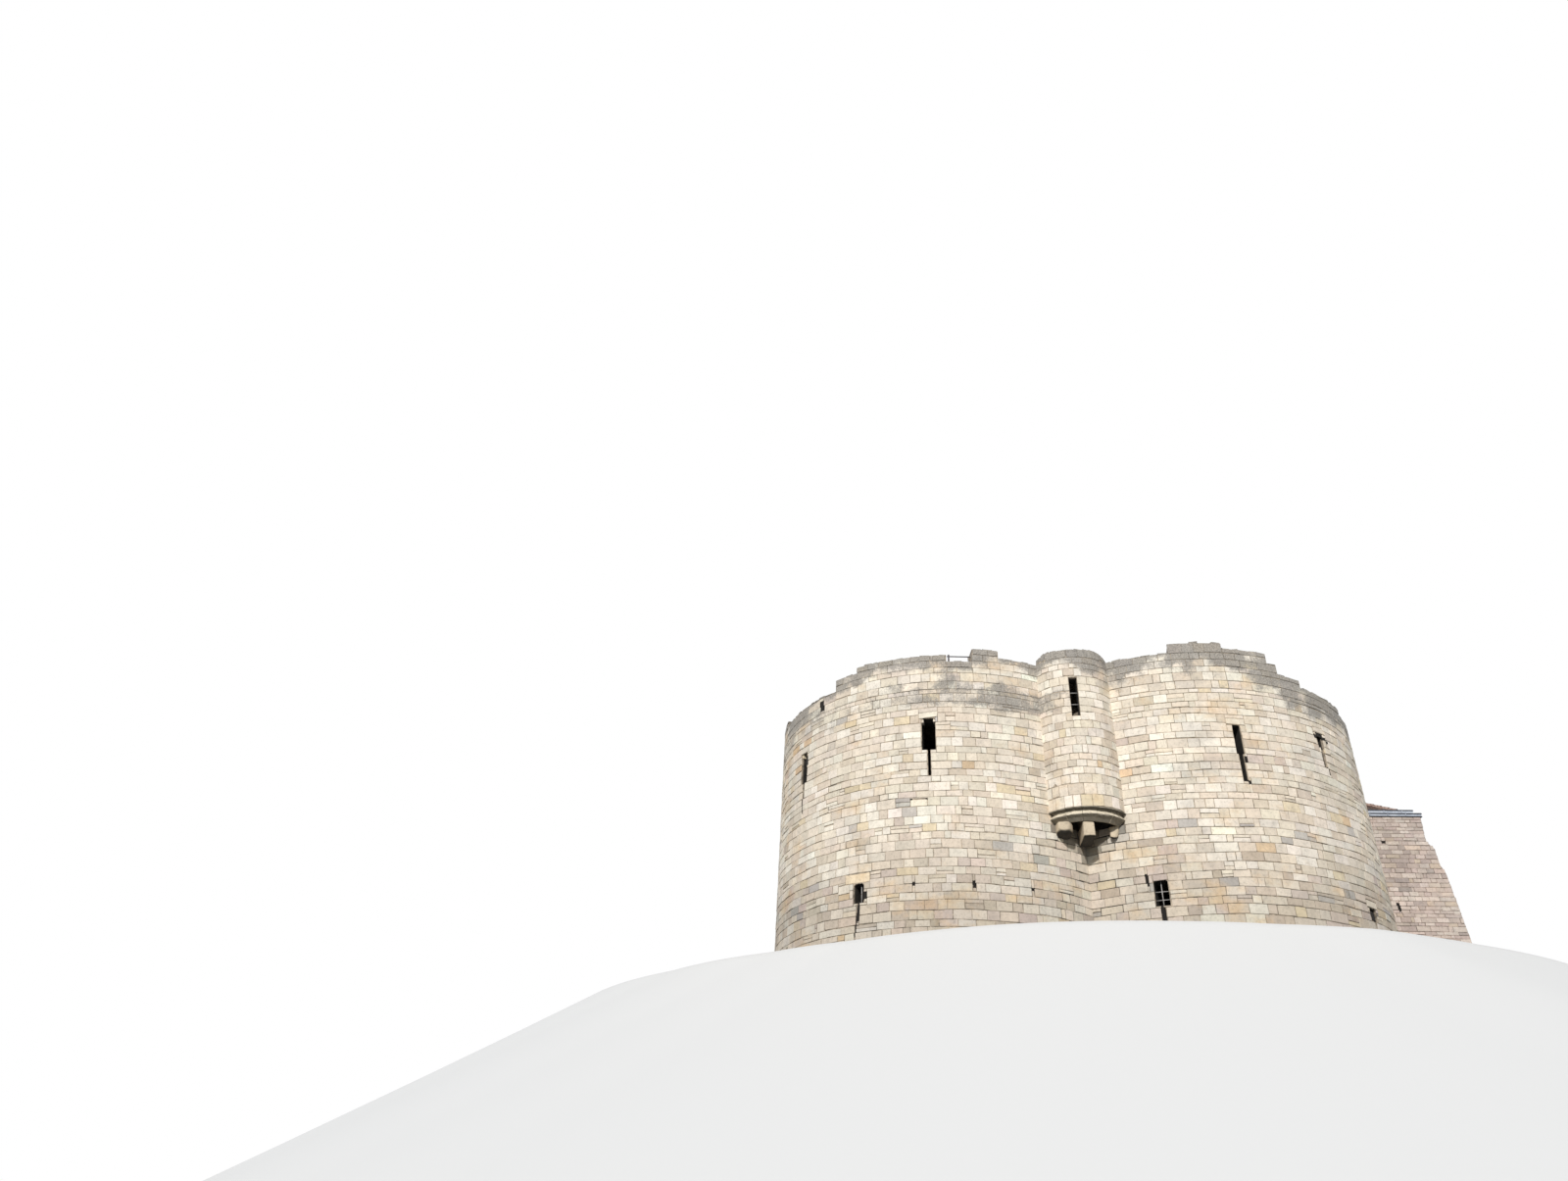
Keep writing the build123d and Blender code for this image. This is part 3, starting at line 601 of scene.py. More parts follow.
def keep_colours(places, rng):
    """Limestone: cream in broad fields, with clusters of grey, yellow and orange stones; buffer and darker
    towards the foot, partly as painted shade, and painted shadow and crust under the turrets.
    """
    level = places[:, 2]
    grey = clusters(places, 1.7, 51, 1.15)
    yellow = clusters(places, 1.5, 53, 1.25)
    orange = clusters(places, 1.1, 55, 1.75)
    pale = waves(places * (1.0, 1.0, 2.2), 4.5, 14)
    low = 1.0 - smooth_step(level, 1.2, 4.2)
    beds = np.exp(-((level - 3.7) / 0.8) ** 2) + np.exp(-((level - 1.9) / 0.6) ** 2)
    weights = np.zeros((len(places), len(STONE_COLOURS)))
    weights[:, PALE] = 0.30 - 0.20 * low + 0.10 * pale.clip(0.0, 1.0)
    weights[:, CREAM] = 0.42 - 0.14 * low
    weights[:, BUFF] = 0.20 + 0.10 * low
    weights[:, SAND] = 0.04 + 0.12 * low
    weights[:, YELLOW] = 0.006 + 0.8 * yellow
    weights[:, ORANGE] = 0.002 + 1.0 * orange
    weights[:, PINK] = 0.01 + 0.10 * low
    weights[:, GREY] = 0.002 + 1.3 * grey * np.clip(beds, 0.05, 1.0)
    weights[:, BROWN] = 0.002 + 0.02 * low
    tint = pick_colours(places, weights, STONE_COLOURS, rng, STONE_SPREAD)
    # Painted shade darkens the foot; painted shadow and crust darken the wedge under each turret
    tone = (1.0 + 0.03 * pale - 0.22 * low) * (1.0 - 0.60 * turret_shadow_and_crust(places))
    return np.clip(tint * tone[:, None], 0.0, 1.0)


def forebuilding_colours(places, rng):
    """Pinkish grey-brown rubble, pale under the eaves, with dull patches across the side walls."""
    weights = np.tile(FORE_SHARES, (len(places), 1))
    weights[:, 0] += 0.35 * smooth_step(places[:, 2], 5.9, 6.7)
    tint = pick_colours(places, weights, FORE_COLOURS, rng, STONE_SPREAD)
    wall = 1.0 - smooth_step(-places[:, 1], FORE_FRONT - 0.9, FORE_FRONT - 0.2)
    dull = np.exp(-((places[:, 2] - 5.5) / 1.0) ** 2) * (0.6 + 0.4 * waves(places, 1.6, 61).clip(-1.0, 1.0))
    patches = smooth_step(waves(places, 1.1, 63), 0.1, 1.2)
    return np.clip(tint * (0.97 - 0.16 * dull * wall - 0.12 * patches * wall)[:, None], 0.0, 1.0)


def even_colours(colours):
    """A picker that gives every stone, tile or board one of a few colours, all as likely."""
    def pick(places, rng):
        return pick_colours(places, np.ones((len(places), len(colours))), colours, rng, EVEN_SPREAD)
    return pick


def age_of(places, top_level):
    """How grey and lichened a place is: on the top courses and in a ragged band at the wall walk.

    The crest of the front lobes is aged deeper down than the others', least on their outer flanks; the band
    is strong only on the back left lobe.
    """
    below = top_level - places[..., 2]
    ahead = -places[..., 1]
    ragged = 0.16 * waves(places, 0.9, 21) + 0.08 * waves(places, 0.35, 22)
    deep = (0.5 + 0.5 * smooth_step(ahead, 2.0, 5.0)) * (1.0 - 0.65 * smooth_step(ahead, 6.6, 8.8))
    deep = np.where(ahead > 0.0, deep, 0.0)
    crest = 1.0 - smooth_step(below + (1.0 + deep) * ragged, 0.14 + 0.10 * deep, 0.85 + 1.10 * deep)
    level = places[..., 2] + 0.13 * waves(places, 2.5, 23) + 0.05 * waves(places, 0.6, 25)
    band = smooth_step(level, *BAND_RISE) * (1.0 - smooth_step(level, *BAND_FALL))
    stained = smooth_step(-ahead, -0.6, 1.2) * (1.0 - 0.35 * smooth_step(-ahead, 4.2, 7.6))
    stained = stained * (places[..., 0] < 0.0)
    patch = smooth_step(waves(places, 2.6, 24), -0.2, 1.2)
    strength = np.where(ahead > 0.0, 1.0, 0.90)
    worn = 0.88 + 0.14 * waves(places * (1.0, 1.0, 1.8), 0.45, 27).clip(-1.0, 1.0)
    return np.clip(strength * crest + band * (0.22 * patch + 0.80 * stained * worn), 0.0, 1.0)


def tint_points(mesh, tints):
    """Writes a colour a point into a mesh, for its material to read."""
    values = np.ones((len(tints), 4), np.float32)
    values[:, :3] = tints
    layer = mesh.attributes.new("stone_colour", "FLOAT_COLOR", "POINT")
    layer.data.foreach_set("color", values.reshape(-1))


def make_stones(name, groups, material, rng, colours=keep_colours):
    """One piece from groups of (surface, stones, top level, settings): closed blocks joined in a mesh.

    The top level is a number or a function of the run. The faces of a block are the same for each, counted
    on by its number of points.
    """
    places, insides, tints, ages, quads, backs = [], [], [], [], [], []
    start = 0
    for surface, stones, top_level, settings in groups:
        if len(stones) == 0:
            continue
        points, inside = blocks(surface, stones, rng, **settings)
        tint = colours(points[:, :16].mean(axis=1), rng)
        offsets = start + BLOCK_POINTS * np.arange(len(stones))[:, None, None]
        way = 1 if turned_right(surface) else -1
        quads.extend((BLOCK_FACES[None] + offsets)[..., ::way].reshape(-1, 4).tolist())
        backs.extend((BACK_FACE[None] + offsets[:, 0])[..., ::way].tolist())
        places.append(points.reshape(-1, 3))
        insides.append(inside.reshape(-1))
        tints.append(np.repeat(tint, BLOCK_POINTS, axis=0))
        if callable(top_level):
            top_level = top_level((stones[:, 0] + stones[:, 1]) / 2)[:, None]
        ages.append(age_of(points, top_level).reshape(-1))
        start += BLOCK_POINTS * len(stones)
    mesh = bpy.data.meshes.new(name)
    mesh.from_pydata(np.concatenate(places), [], quads + backs)
    tint_points(mesh, np.concatenate(tints))
    for layer_name, values in (("inside", insides), ("age", ages)):
        layer = mesh.attributes.new(layer_name, "FLOAT", "POINT")
        layer.data.foreach_set("value", np.concatenate(values).astype(np.float32))
    return finish(name, mesh, material)


def swept(places, outs, ups, profile):
    """A closed profile carried along a path: place + out * first + up * second, with flat ends."""
    points = places[:, None] + outs[:, None] * profile[..., :1] + ups[:, None] * profile[..., 1:]
    index = np.arange(points.shape[0] * points.shape[1]).reshape(points.shape[:2])
    around = np.roll(index, -1, axis=1)
    quads = np.stack([index[:-1], index[1:], around[1:], around[:-1]], axis=-1).reshape(-1, 4)
    return points.reshape(-1, 3), quads.tolist() + [index[0].tolist(), index[-1].tolist()]


def oval(half_width, half_height, around=10):
    """A closed oval profile."""
    turns = np.linspace(0.0, 2.0 * math.pi, around, endpoint=False)
    return np.stack([half_width * np.cos(turns), half_height * np.sin(turns)], axis=-1)


def rod(start, end, radius):
    """A straight round bar between two places."""
    start, end = np.array(start, float), np.array(end, float)
    along = (end - start) / np.linalg.norm(end - start)
    out = np.cross(along, UP if abs(along[2]) < 0.9 else (1.0, 0.0, 0.0))
    out /= np.linalg.norm(out)
    both = np.ones((2, 1))
    return swept(np.stack([start, end]), both * out, both * np.cross(along, out), oval(radius, radius))


def boulder(centre, axes, half_sizes, squareness, rough, seed):
    """A closed rounded block: signed powers of cosines and sines, so that low powers make it square.

    place = centre + the three axes, each by its half size and its power, then pushed by a smooth field.
    """
    around, rise = 28, 15
    turn = np.linspace(0.0, 2.0 * math.pi, around, endpoint=False)[None, :]
    tilt = np.linspace(-math.pi / 2, math.pi / 2, rise)[1:-1, None]

    def power(value):
        return np.sign(value) * np.abs(value) ** squareness

    ring = np.stack([power(np.cos(tilt)) * power(np.cos(turn)), power(np.cos(tilt)) * power(np.sin(turn)),
                     power(np.sin(tilt)) * np.ones_like(turn)], axis=-1).reshape(-1, 3)
    unit = np.concatenate([ring, [[0.0, 0.0, -1.0], [0.0, 0.0, 1.0]]]) * half_sizes
    unit += rough * np.stack([waves(unit, 0.35, seed + part) for part in range(3)], axis=-1)
    places = np.array(centre) + unit @ np.array(axes)
    index = np.arange(len(ring)).reshape(-1, around)
    beside = np.roll(index, -1, axis=1)
    quads = np.stack([index[:-1], beside[:-1], beside[1:], index[1:]], axis=-1).reshape(-1, 4).tolist()
    foot, head = len(ring), len(ring) + 1
    quads += np.stack([np.full(around, foot), beside[0], index[0]], axis=-1).tolist()
    quads += np.stack([np.full(around, head), index[-1], beside[-1]], axis=-1).tolist()
    return places, quads


def turn_outwards(mesh):
    """Turns every face of a mesh of closed bodies outwards."""
    shape = bmesh.new()
    shape.from_mesh(mesh)
    bmesh.ops.recalc_face_normals(shape, faces=shape.faces)
    shape.to_mesh(mesh)
    shape.free()


def make_bodies(name, bodies, material, smooth=False):
    """One piece from closed bodies of (places, faces)."""
    places, faces, start = [], [], 0
    for body_places, body_faces in bodies:
        places.append(body_places)
        faces.extend([[corner + start for corner in face] for face in body_faces])
        start += len(body_places)
    mesh = bpy.data.meshes.new(name)
    mesh.from_pydata(np.concatenate(places), [], faces)
    turn_outwards(mesh)
    if smooth:
        mesh.shade_smooth()
    return finish(name, mesh, material)


def finish(name, mesh, material):
    """Places a mesh in the scene as a piece that rides on the keep."""
    mesh.validate()
    mesh.materials.append(material)
    piece = bpy.data.objects.new(name, mesh)
    bpy.context.collection.objects.link(piece)
    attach(piece, "root")
    return piece


# Shader nodes

def add(tree, kind, settings=None, **sockets):
    """A node with its settings, and its inputs linked or set by name; spaces are written as underscores."""
    made = tree.nodes.new(kind)
    for key, value in (settings or {}).items():
        setattr(made, key, value)
    for key, value in sockets.items():
        socket = made.inputs[int(key[1:])] if key[0] == "_" else made.inputs[key.replace("_", " ")]
        if isinstance(value, bpy.types.NodeSocket):
            tree.links.new(value, socket)
        else:
            socket.default_value = value
    return made


def calculate(tree, operation, first, second=0.0):
    """A Math node's result."""
    return add(tree, "ShaderNodeMath", {"operation": operation}, _0=first, _1=second).outputs[0]


def ramp(tree, value, low, high, to_low=0.0, to_high=1.0):
    """A value carried from one range to another, and kept inside it."""
    return add(tree, "ShaderNodeMapRange", None, Value=value, From_Min=low, From_Max=high, To_Min=to_low,
               To_Max=to_high).outputs[0]


def blend(tree, amount, first, second, kind="MIX"):
    """Two colours mixed, or multiplied, by an amount."""
    settings = {"data_type": "RGBA", "blend_type": kind}
    return add(tree, "ShaderNodeMix", settings, _0=amount, _6=first, _7=second).outputs[2]


def noise(tree, vector, scale, detail=3.0, roughness=0.55, distortion=0.0):
    """A noise value about a vector."""
    return add(tree, "ShaderNodeTexNoise", None, Vector=vector, Scale=scale, Detail=detail,
               Roughness=roughness, Distortion=distortion).outputs[0]


def product(tree, first, *others):
    """Numbers multiplied."""
    for other in others:
        first = calculate(tree, "MULTIPLY", first, other)
    return first


def total(tree, first, second):
    """Two numbers added."""
    return calculate(tree, "ADD", first, second)


def less(tree, first, second):
    """A number less another."""
    return calculate(tree, "SUBTRACT", first, second)


def split_up(tree, vector):
    """A vector's X, Y and Z."""
    return add(tree, "ShaderNodeSeparateXYZ", None, Vector=vector).outputs


def stretched(tree, vector, scale):
    """A vector with its parts scaled, which draws a pattern out along the small ones."""
    return add(tree, "ShaderNodeMapping", None, Vector=vector, Scale=scale).outputs[0]


def attribute(tree, name, output="Fac"):
    """A mesh attribute's number or colour."""
    return add(tree, "ShaderNodeAttribute", {"attribute_name": name}).outputs[output]


def new_group(name, inputs, outputs):
    """An empty node group and its two end nodes.

    Inputs are names with their defaults, outputs are names; Vector and Color say what they carry, and any
    other name is a number.
    """
    group = bpy.data.node_groups.new(name, "ShaderNodeTree")
    kinds = {"Vector": "NodeSocketVector", "Color": "NodeSocketColor"}
    for label, value in inputs.items():
        kind = kinds.get(label, "NodeSocketFloat")
        socket = group.interface.new_socket(label, in_out="INPUT", socket_type=kind)
        if value is not None:
            socket.default_value = value
    for label in outputs:
        group.interface.new_socket(label, in_out="OUTPUT", socket_type=kinds.get(label, "NodeSocketFloat"))
    return group, group.nodes.new("NodeGroupInput").outputs, group.nodes.new("NodeGroupOutput").inputs


def make_grain_group():
    """Stone grain: cloudy change of tone, fine specks and pits, as a tone to multiply by and a height."""
    group, given, out = new_group("stone grain", {"Vector": None, "Pits": 0.5}, ["Tone", "Height"])
    cloud = noise(group, given["Vector"], 5.0, 4.0, 0.6)
    speck = noise(group, given["Vector"], 60.0, 2.0, 0.6)
    blotch = noise(group, given["Vector"], 13.0, 4.0, 0.65)
    pit = add(group, "ShaderNodeTexVoronoi", None, Vector=given["Vector"], Scale=38.0).outputs["Distance"]
    pits = product(group, ramp(group, pit, 0.10, 0.28, 1.0, 0.0), given["Pits"])
    tone = total(group, ramp(group, cloud, 0.3, 0.7, 0.91, 1.06), ramp(group, speck, 0.3, 0.7, -0.03, 0.03))
    tone = less(group, tone, ramp(group, blotch, 0.50, 0.68, 0.0, 0.20))
    group.links.new(less(group, tone, product(group, pits, 0.12)), out["Tone"])
    height = total(group, product(group, cloud, 0.6), product(group, speck, 0.25))
    group.links.new(less(group, height, product(group, pits, 0.5)), out["Height"])
    return group


def make_lichen_group():
    """Lichen and soot: a mask in ragged spots where the age is high, and the colour it takes."""
    group, given, out = new_group("lichen", {"Vector": None, "Age": 0.0, "Color": (0.5, 0.5, 0.5, 1.0)},
                                  ["Color", "Mask"])
    broad = noise(group, given["Vector"], 2.6, 5.0, 0.65)
    fine = noise(group, given["Vector"], 16.0, 4.0, 0.7)
    texture = total(group, product(group, broad, 0.55), product(group, fine, 0.45))
    mask = ramp(group, less(group, texture, ramp(group, given["Age"], 0.0, 1.0, 0.78, 0.28)), -0.06, 0.12)
    dark = noise(group, given["Vector"], 26.0, 4.0, 0.75)
    tint = blend(group, ramp(group, dark, 0.38, 0.64), shade(104, 101, 98), shade(182, 176, 166))
    group.links.new(blend(group, product(group, mask, 0.86), given["Color"], tint), out["Color"])
    group.links.new(mask, out["Mask"])
    return group


def make_streak_group():
    """Rain streaks: noise drawn out upright, as a tone to multiply by."""
    group, given, out = new_group("rain streaks", {"Vector": None, "Strength": 0.1}, ["Tone"])
    drawn = stretched(group, given["Vector"], (2.4, 2.4, 0.22))
    streak = ramp(group, noise(group, drawn, 1.6, 5.0, 0.6), 0.42, 0.68)
    group.links.new(less(group, 1.0, product(group, streak, given["Strength"])), out["Tone"])
    return group


def make_stain_group():
    """Stains that cross the stones: warm iron stains and grey washes, each in the high parts of a noise."""
    group, given, out = new_group(
        "broad stains", {"Vector": None, "Warm": 0.3, "Grey": 0.3, "Color": (0.5, 0.5, 0.5, 1.0)}, ["Color"])
    drawn = stretched(group, given["Vector"], (1.0, 1.0, 1.5))
    moved = add(group, "ShaderNodeMapping", None, Vector=drawn, Location=(31.0, 17.0, 5.0)).outputs[0]
    warm = product(group, ramp(group, noise(group, drawn, 0.75, 5.0, 0.6), 0.55, 0.72), given["Warm"])
    grey = product(group, ramp(group, noise(group, moved, 0.85, 6.0, 0.65), 0.52, 0.70), given["Grey"])
    warmed = blend(group, warm, given["Color"], shade(224, 184, 128))
    group.links.new(blend(group, grey, warmed, shade(178, 172, 164)), out["Color"])
    return group


def make_mortar_group():
    """Where the joints are washed out: 0 on sound mortar to 1 on open joints, more of them near the foot."""
    group, given, out = new_group("washed joints", {"Vector": None}, ["Open"])
    broad = noise(group, given["Vector"], 0.9, 5.0, 0.65)
    fine = noise(group, given["Vector"], 7.0, 3.0, 0.6)
    texture = total(group, product(group, broad, 0.5), product(group, fine, 0.5))
    low = ramp(group, split_up(group, given["Vector"])["Z"], 0.5, 4.0, 0.05, 0.0)
    group.links.new(ramp(group, total(group, texture, low), 0.46, 0.60), out["Open"])
    return group


GRAIN = make_grain_group()
LICHEN = make_lichen_group()
STREAKS = make_streak_group()
STAINS = make_stain_group()
MORTAR = make_mortar_group()


def use(tree, group, **sockets):
    """A group placed in a material, with its inputs linked or set."""
    return add(tree, "ShaderNodeGroup", {"node_tree": group}, **sockets)


def new_material(name, roughness, metallic=0.0):
    """A material with its tree, its Principled shader and the object's coordinates."""
    material = bpy.data.materials.new(name)
    material.use_nodes = True
    tree = material.node_tree
    shader = tree.nodes["Principled BSDF"]
    shader.inputs["Roughness"].default_value = roughness
    shader.inputs["Metallic"].default_value = metallic
    return material, tree, shader, tree.nodes.new("ShaderNodeTexCoord").outputs["Object"]


def bump(tree, shader, height, strength, distance):
    """Feeds a height into the shader's normal."""
    made = add(tree, "ShaderNodeBump", None, Strength=strength, Distance=distance, Height=height)
    tree.links.new(made.outputs[0], shader.inputs["Normal"])


def times(tree, colour, tone):
    """A colour multiplied by a tone."""
    grey = add(tree, "ShaderNodeCombineColor", None, Red=tone, Green=tone, Blue=tone).outputs[0]
    return blend(tree, 1.0, colour, grey, "MULTIPLY")


def stone_material(name, pits, streaks, joint_shade_tone, open_joint_shade_tone, warm=0.0, grey=0.0):
    """A stone's own colour with grain, streaks, stains and lichen, and painted shade and dirt on its edges.

    The edges at the joints are darkest where the joints are washed out.
    """
    material, tree, shader, place = new_material(name, 0.92)
    grain = use(tree, GRAIN, Vector=place, Pits=pits)
    streak = use(tree, STREAKS, Vector=place, Strength=streaks)
    washed = use(tree, MORTAR, Vector=place).outputs["Open"]
    stained = use(tree, STAINS, Vector=place, Warm=warm, Grey=grey,
                  Color=attribute(tree, "stone_colour", "Color")).outputs["Color"]
    # Painted shade and dirt on the stones' edges in the joints, darkest where the joints are washed out
    edge_shade = ramp(tree, washed, 0.0, 1.0, joint_shade_tone, open_joint_shade_tone)
    from_edge = ramp(tree, attribute(tree, "inside"), -0.9, 0.6)
    edge = total(tree, edge_shade, product(tree, from_edge, less(tree, 1.0, edge_shade)))
    tone = product(tree, grain.outputs["Tone"], streak.outputs["Tone"], edge)
    aged = use(tree, LICHEN, Vector=place, Age=attribute(tree, "age"), Color=times(tree, stained, tone))
    tree.links.new(aged.outputs["Color"], shader.inputs["Base Color"])
    height = total(tree, grain.outputs["Height"], product(tree, aged.outputs["Mask"], 0.15))
    bump(tree, shader, height, 0.55, 0.012)
    return material


def depth_behind(tree, first, second, at_first, at_second, radius):
    """How deep a place lies behind a round face: its radius less the distance from its axis."""
    apart = add(tree, "ShaderNodeCombineXYZ", None, X=less(tree, first, at_first),
                Y=less(tree, second, at_second)).outputs[0]
    length = add(tree, "ShaderNodeVectorMath", {"operation": "LENGTH"}, _0=apart).outputs["Value"]
    return less(tree, radius, length)


def core_tone(tree, place):
    """How dark the core is: painted shade and dirt where its joints are washed out in patches, and painted
    shade inside the loops and the turrets' chambers.

    |x| and |y| serve all four lobes at once; the larger and the smaller of them serve the turrets.
    """
    parts = split_up(tree, place)
    level = parts["Z"]
    aside = calculate(tree, "ABSOLUTE", parts["X"])
    ahead = calculate(tree, "ABSOLUTE", parts["Y"])
    reach = calculate(tree, "MAXIMUM", aside, ahead)
    beside = calculate(tree, "MINIMUM", aside, ahead)
    lobe = depth_behind(tree, aside, ahead, LOBE_PLACE, LOBE_PLACE, LOBE_RADIUS)
    turret = depth_behind(tree, reach, beside, TURRET_PLACE, 0.0, TURRET_RADIUS)
    loops = product(tree, ramp(tree, lobe, 0.02, 0.08), ramp(tree, lobe, 0.9, 1.8, 1.0, 0.4),
                    ramp(tree, level, WALL_TOP - 0.15, WALL_TOP, 1.0, 0.0))
    chamber = product(tree, ramp(tree, turret, 0.06, 0.16), ramp(tree, level, 9.0, 9.1, 1.0, 0.0),
                      ramp(tree, reach, TURRET_PLACE, TURRET_PLACE + 0.15))
    # Painted shade inside the loops and the turrets' chambers, which lie in deep shade
    painted_recess_shade = ramp(tree, calculate(tree, "MAXIMUM", loops, chamber), 0.0, 1.0, 1.0, 0.05)
    # Painted shade and dirt where the joints are washed out
    washed = ramp(tree, use(tree, MORTAR, Vector=place).outputs["Open"], 0.0, 1.0, 1.0, 0.34)
    return product(tree, painted_recess_shade, washed)


def core_material(name, colour, low_age, high_age):
    """The wall's mortared core, seen in the joints, reveals and recesses; its age rises to the top."""
    material, tree, shader, place = new_material(name, 0.95)
    grain = use(tree, GRAIN, Vector=place, Pits=0.8)
    lumps = noise(tree, place, 9.0, 4.0, 0.65)
    lumpy = ramp(tree, lumps, 0.3, 0.7, 0.85, 1.1)
    tone = product(tree, grain.outputs["Tone"], lumpy, core_tone(tree, place))
    age = ramp(tree, split_up(tree, place)["Z"], 7.8, 9.6, low_age, high_age)
    aged = use(tree, LICHEN, Vector=place, Age=age, Color=shade(*colour))
    tree.links.new(times(tree, aged.outputs["Color"], tone), shader.inputs["Base Color"])
    bump(tree, shader, total(tree, grain.outputs["Height"], lumps), 0.7, 0.02)
    return material


def plain_stone_material(name, colour, age, underside_shade=0.5, shade_and_dirt_over=None):
    """Moulded and carved stone: grain, streaks and lichen on one colour; painted shade where it faces down.

    Painted shade and dirt also lie over a level, where one is given.
    """
    material, tree, shader, place = new_material(name, 0.92)
    grain = use(tree, GRAIN, Vector=place, Pits=0.7)
    streak = use(tree, STREAKS, Vector=place, Strength=0.12)
    facing = tree.nodes.new("ShaderNodeNewGeometry").outputs["Normal"]
    # Painted shade: faces that look down are darkened
    painted_shade_and_dirt = ramp(tree, split_up(tree, facing)["Z"], -0.65, -0.15, underside_shade, 1.0)
    if shade_and_dirt_over is not None:
        level = split_up(tree, place)["Z"]
        # Painted shade and dirt over the level
        painted_shade_and_dirt = product(tree, painted_shade_and_dirt, ramp(tree, level, shade_and_dirt_over - 0.02, shade_and_dirt_over + 0.01, 1.0, 0.42))
    tone = product(tree, grain.outputs["Tone"], streak.outputs["Tone"])
    aged = use(tree, LICHEN, Vector=place, Age=age, Color=times(tree, shade(*colour), tone))
    tree.links.new(times(tree, aged.outputs["Color"], painted_shade_and_dirt), shader.inputs["Base Color"])
    bump(tree, shader, grain.outputs["Height"], 0.6, 0.014)
    return material


def oak_material(name, colour=None):
    """Silvered oak: long grain along the timbers, on each board's own colour or on one colour."""
    material, tree, shader, place = new_material(name, 0.8)
    base = shade(*colour) if colour else attribute(tree, "stone_colour", "Color")
    turned = add(tree, "ShaderNodeMapping", None, Vector=place, Rotation=(0.0, 0.0, math.radians(45.0)))
    fibre = noise(tree, stretched(tree, turned.outputs[0], (1.2, 22.0, 22.0)), 2.0, 5.0, 0.65, 0.6)
    cloud = noise(tree, place, 1.3, 3.0)
    tone = total(tree, ramp(tree, fibre, 0.3, 0.7, 0.78, 1.08), ramp(tree, cloud, 0.3, 0.7, -0.06, 0.06))
    tree.links.new(times(tree, base, tone), shader.inputs["Base Color"])
    bump(tree, shader, fibre, 0.4, 0.004)
    return material


def tile_material():
    """Plain clay tiles: each its own colour with the slope's painted shade in it, mottled, with grey lichen.
    """
    material, tree, shader, place = new_material("clay tiles", 0.85)
    mottle = noise(tree, place, 14.0, 4.0, 0.65)
    clay = times(tree, attribute(tree, "stone_colour", "Color"), ramp(tree, mottle, 0.3, 0.7, 0.82, 1.1))
    aged = use(tree, LICHEN, Vector=place, Age=0.22, Color=clay)
    tree.links.new(aged.outputs["Color"], shader.inputs["Base Color"])
    bump(tree, shader, mottle, 0.4, 0.006)
    return material


def lead_material(name, dull, bloomed):
    """Weathered lead sheet: dull blue-grey with white bloom and dark runs."""
    material, tree, shader, place = new_material(name, 0.6, 0.1)
    bloom = noise(tree, place, 3.0, 5.0, 0.65)
    runs = noise(tree, stretched(tree, place, (9.0, 9.0, 0.6)), 1.5, 4.0, 0.6)
    base = blend(tree, ramp(tree, bloom, 0.35, 0.65), shade(*dull), shade(*bloomed))
    tree.links.new(times(tree, base, ramp(tree, runs, 0.35, 0.7, 1.0, 0.8)), shader.inputs["Base Color"])
    tree.links.new(ramp(tree, bloom, 0.3, 0.7, 0.45, 0.7), shader.inputs["Roughness"])
    bump(tree, shader, bloom, 0.25, 0.01)
    return material


def iron_material(name, colour):
    """Painted iron with a little rust where the paint is thin."""
    material, tree, shader, place = new_material(name, 0.5)
    patch = noise(tree, place, 22.0, 4.0, 0.6)
    base = blend(tree, ramp(tree, patch, 0.58, 0.66), shade(*colour), shade(112, 74, 52))
    tree.links.new(base, shader.inputs["Base Color"])
    tree.links.new(ramp(tree, patch, 0.5, 0.7, 0.4, 0.85), shader.inputs["Roughness"])
    bump(tree, shader, patch, 0.3, 0.003)
    return material


def hole_shade_material():
    """A near-black sheet of painted shade at the back of a washed-out joint or a putlog hole."""
    material, tree, shader, place = new_material("painted hole shade", 1.0)
    tone = noise(tree, place, 18.0, 3.0)
    tree.links.new(blend(tree, tone, shade(14, 12, 10), shade(36, 31, 26)), shader.inputs["Base Color"])
    bump(tree, shader, tone, 0.5, 0.02)
    return material


# Stone materials: the third and fourth numbers are the painted shade and dirt at the joints' edges
KEEP_STONE = stone_material("weathered limestone", 0.6, 0.10, 0.64, 0.24, 0.45, 0.38)
FORE_STONE = stone_material("forebuilding rubble", 0.9, 0.10, 0.86, 0.48, 0.15, 0.55)
PAVING = stone_material("worn flagstones", 0.6, 0.0, 0.55, 0.45, 0.10, 0.25)
CORE = core_material("mortared core", (204, 188, 166), 0.15, 0.6)
FORE_CORE = core_material("forebuilding core", (178, 160, 148), 0.15, 0.3)
PAVING_BED = core_material("paving bed", (132, 122, 108), 0.3, 0.3)
TILE_BED = core_material("tile bed", (84, 66, 58), 0.2, 0.2)
# Painted shade under the ring and, nearly black, under the corbels; painted shade and dirt on the ring's top
MOULDED = plain_stone_material("moulded stone", (232, 220, 196), 0.22, 0.30, RING_TOP - 0.09)
CARVED = plain_stone_material("corbel stone", (212, 196, 170), 0.30, 0.05)
HIP_TILES = plain_stone_material("hip tiles", (172, 148, 136), 0.25)
OAK_BEAM = oak_material("oak beams", (126, 106, 84))
OAK_BOARD = oak_material("oak boards")
TILES = tile_material()
LEAD = lead_material("weathered lead", (164, 172, 184), (204, 210, 218))
# Dark lips along the lead's steps: painted shade for the shadow lines under the steps
LEAD_EDGE_SHADE = lead_material("lead edges in painted shade", (60, 64, 72), (98, 102, 110))
RAIL_IRON = iron_material("painted rail", (70, 70, 74))
BAR_IRON = iron_material("window bars", (168, 166, 162))
HOLE_SHADE = hole_shade_material()


# Courses that all the lobes share, so that the bed joints run on round the keep, and the front wall's plane

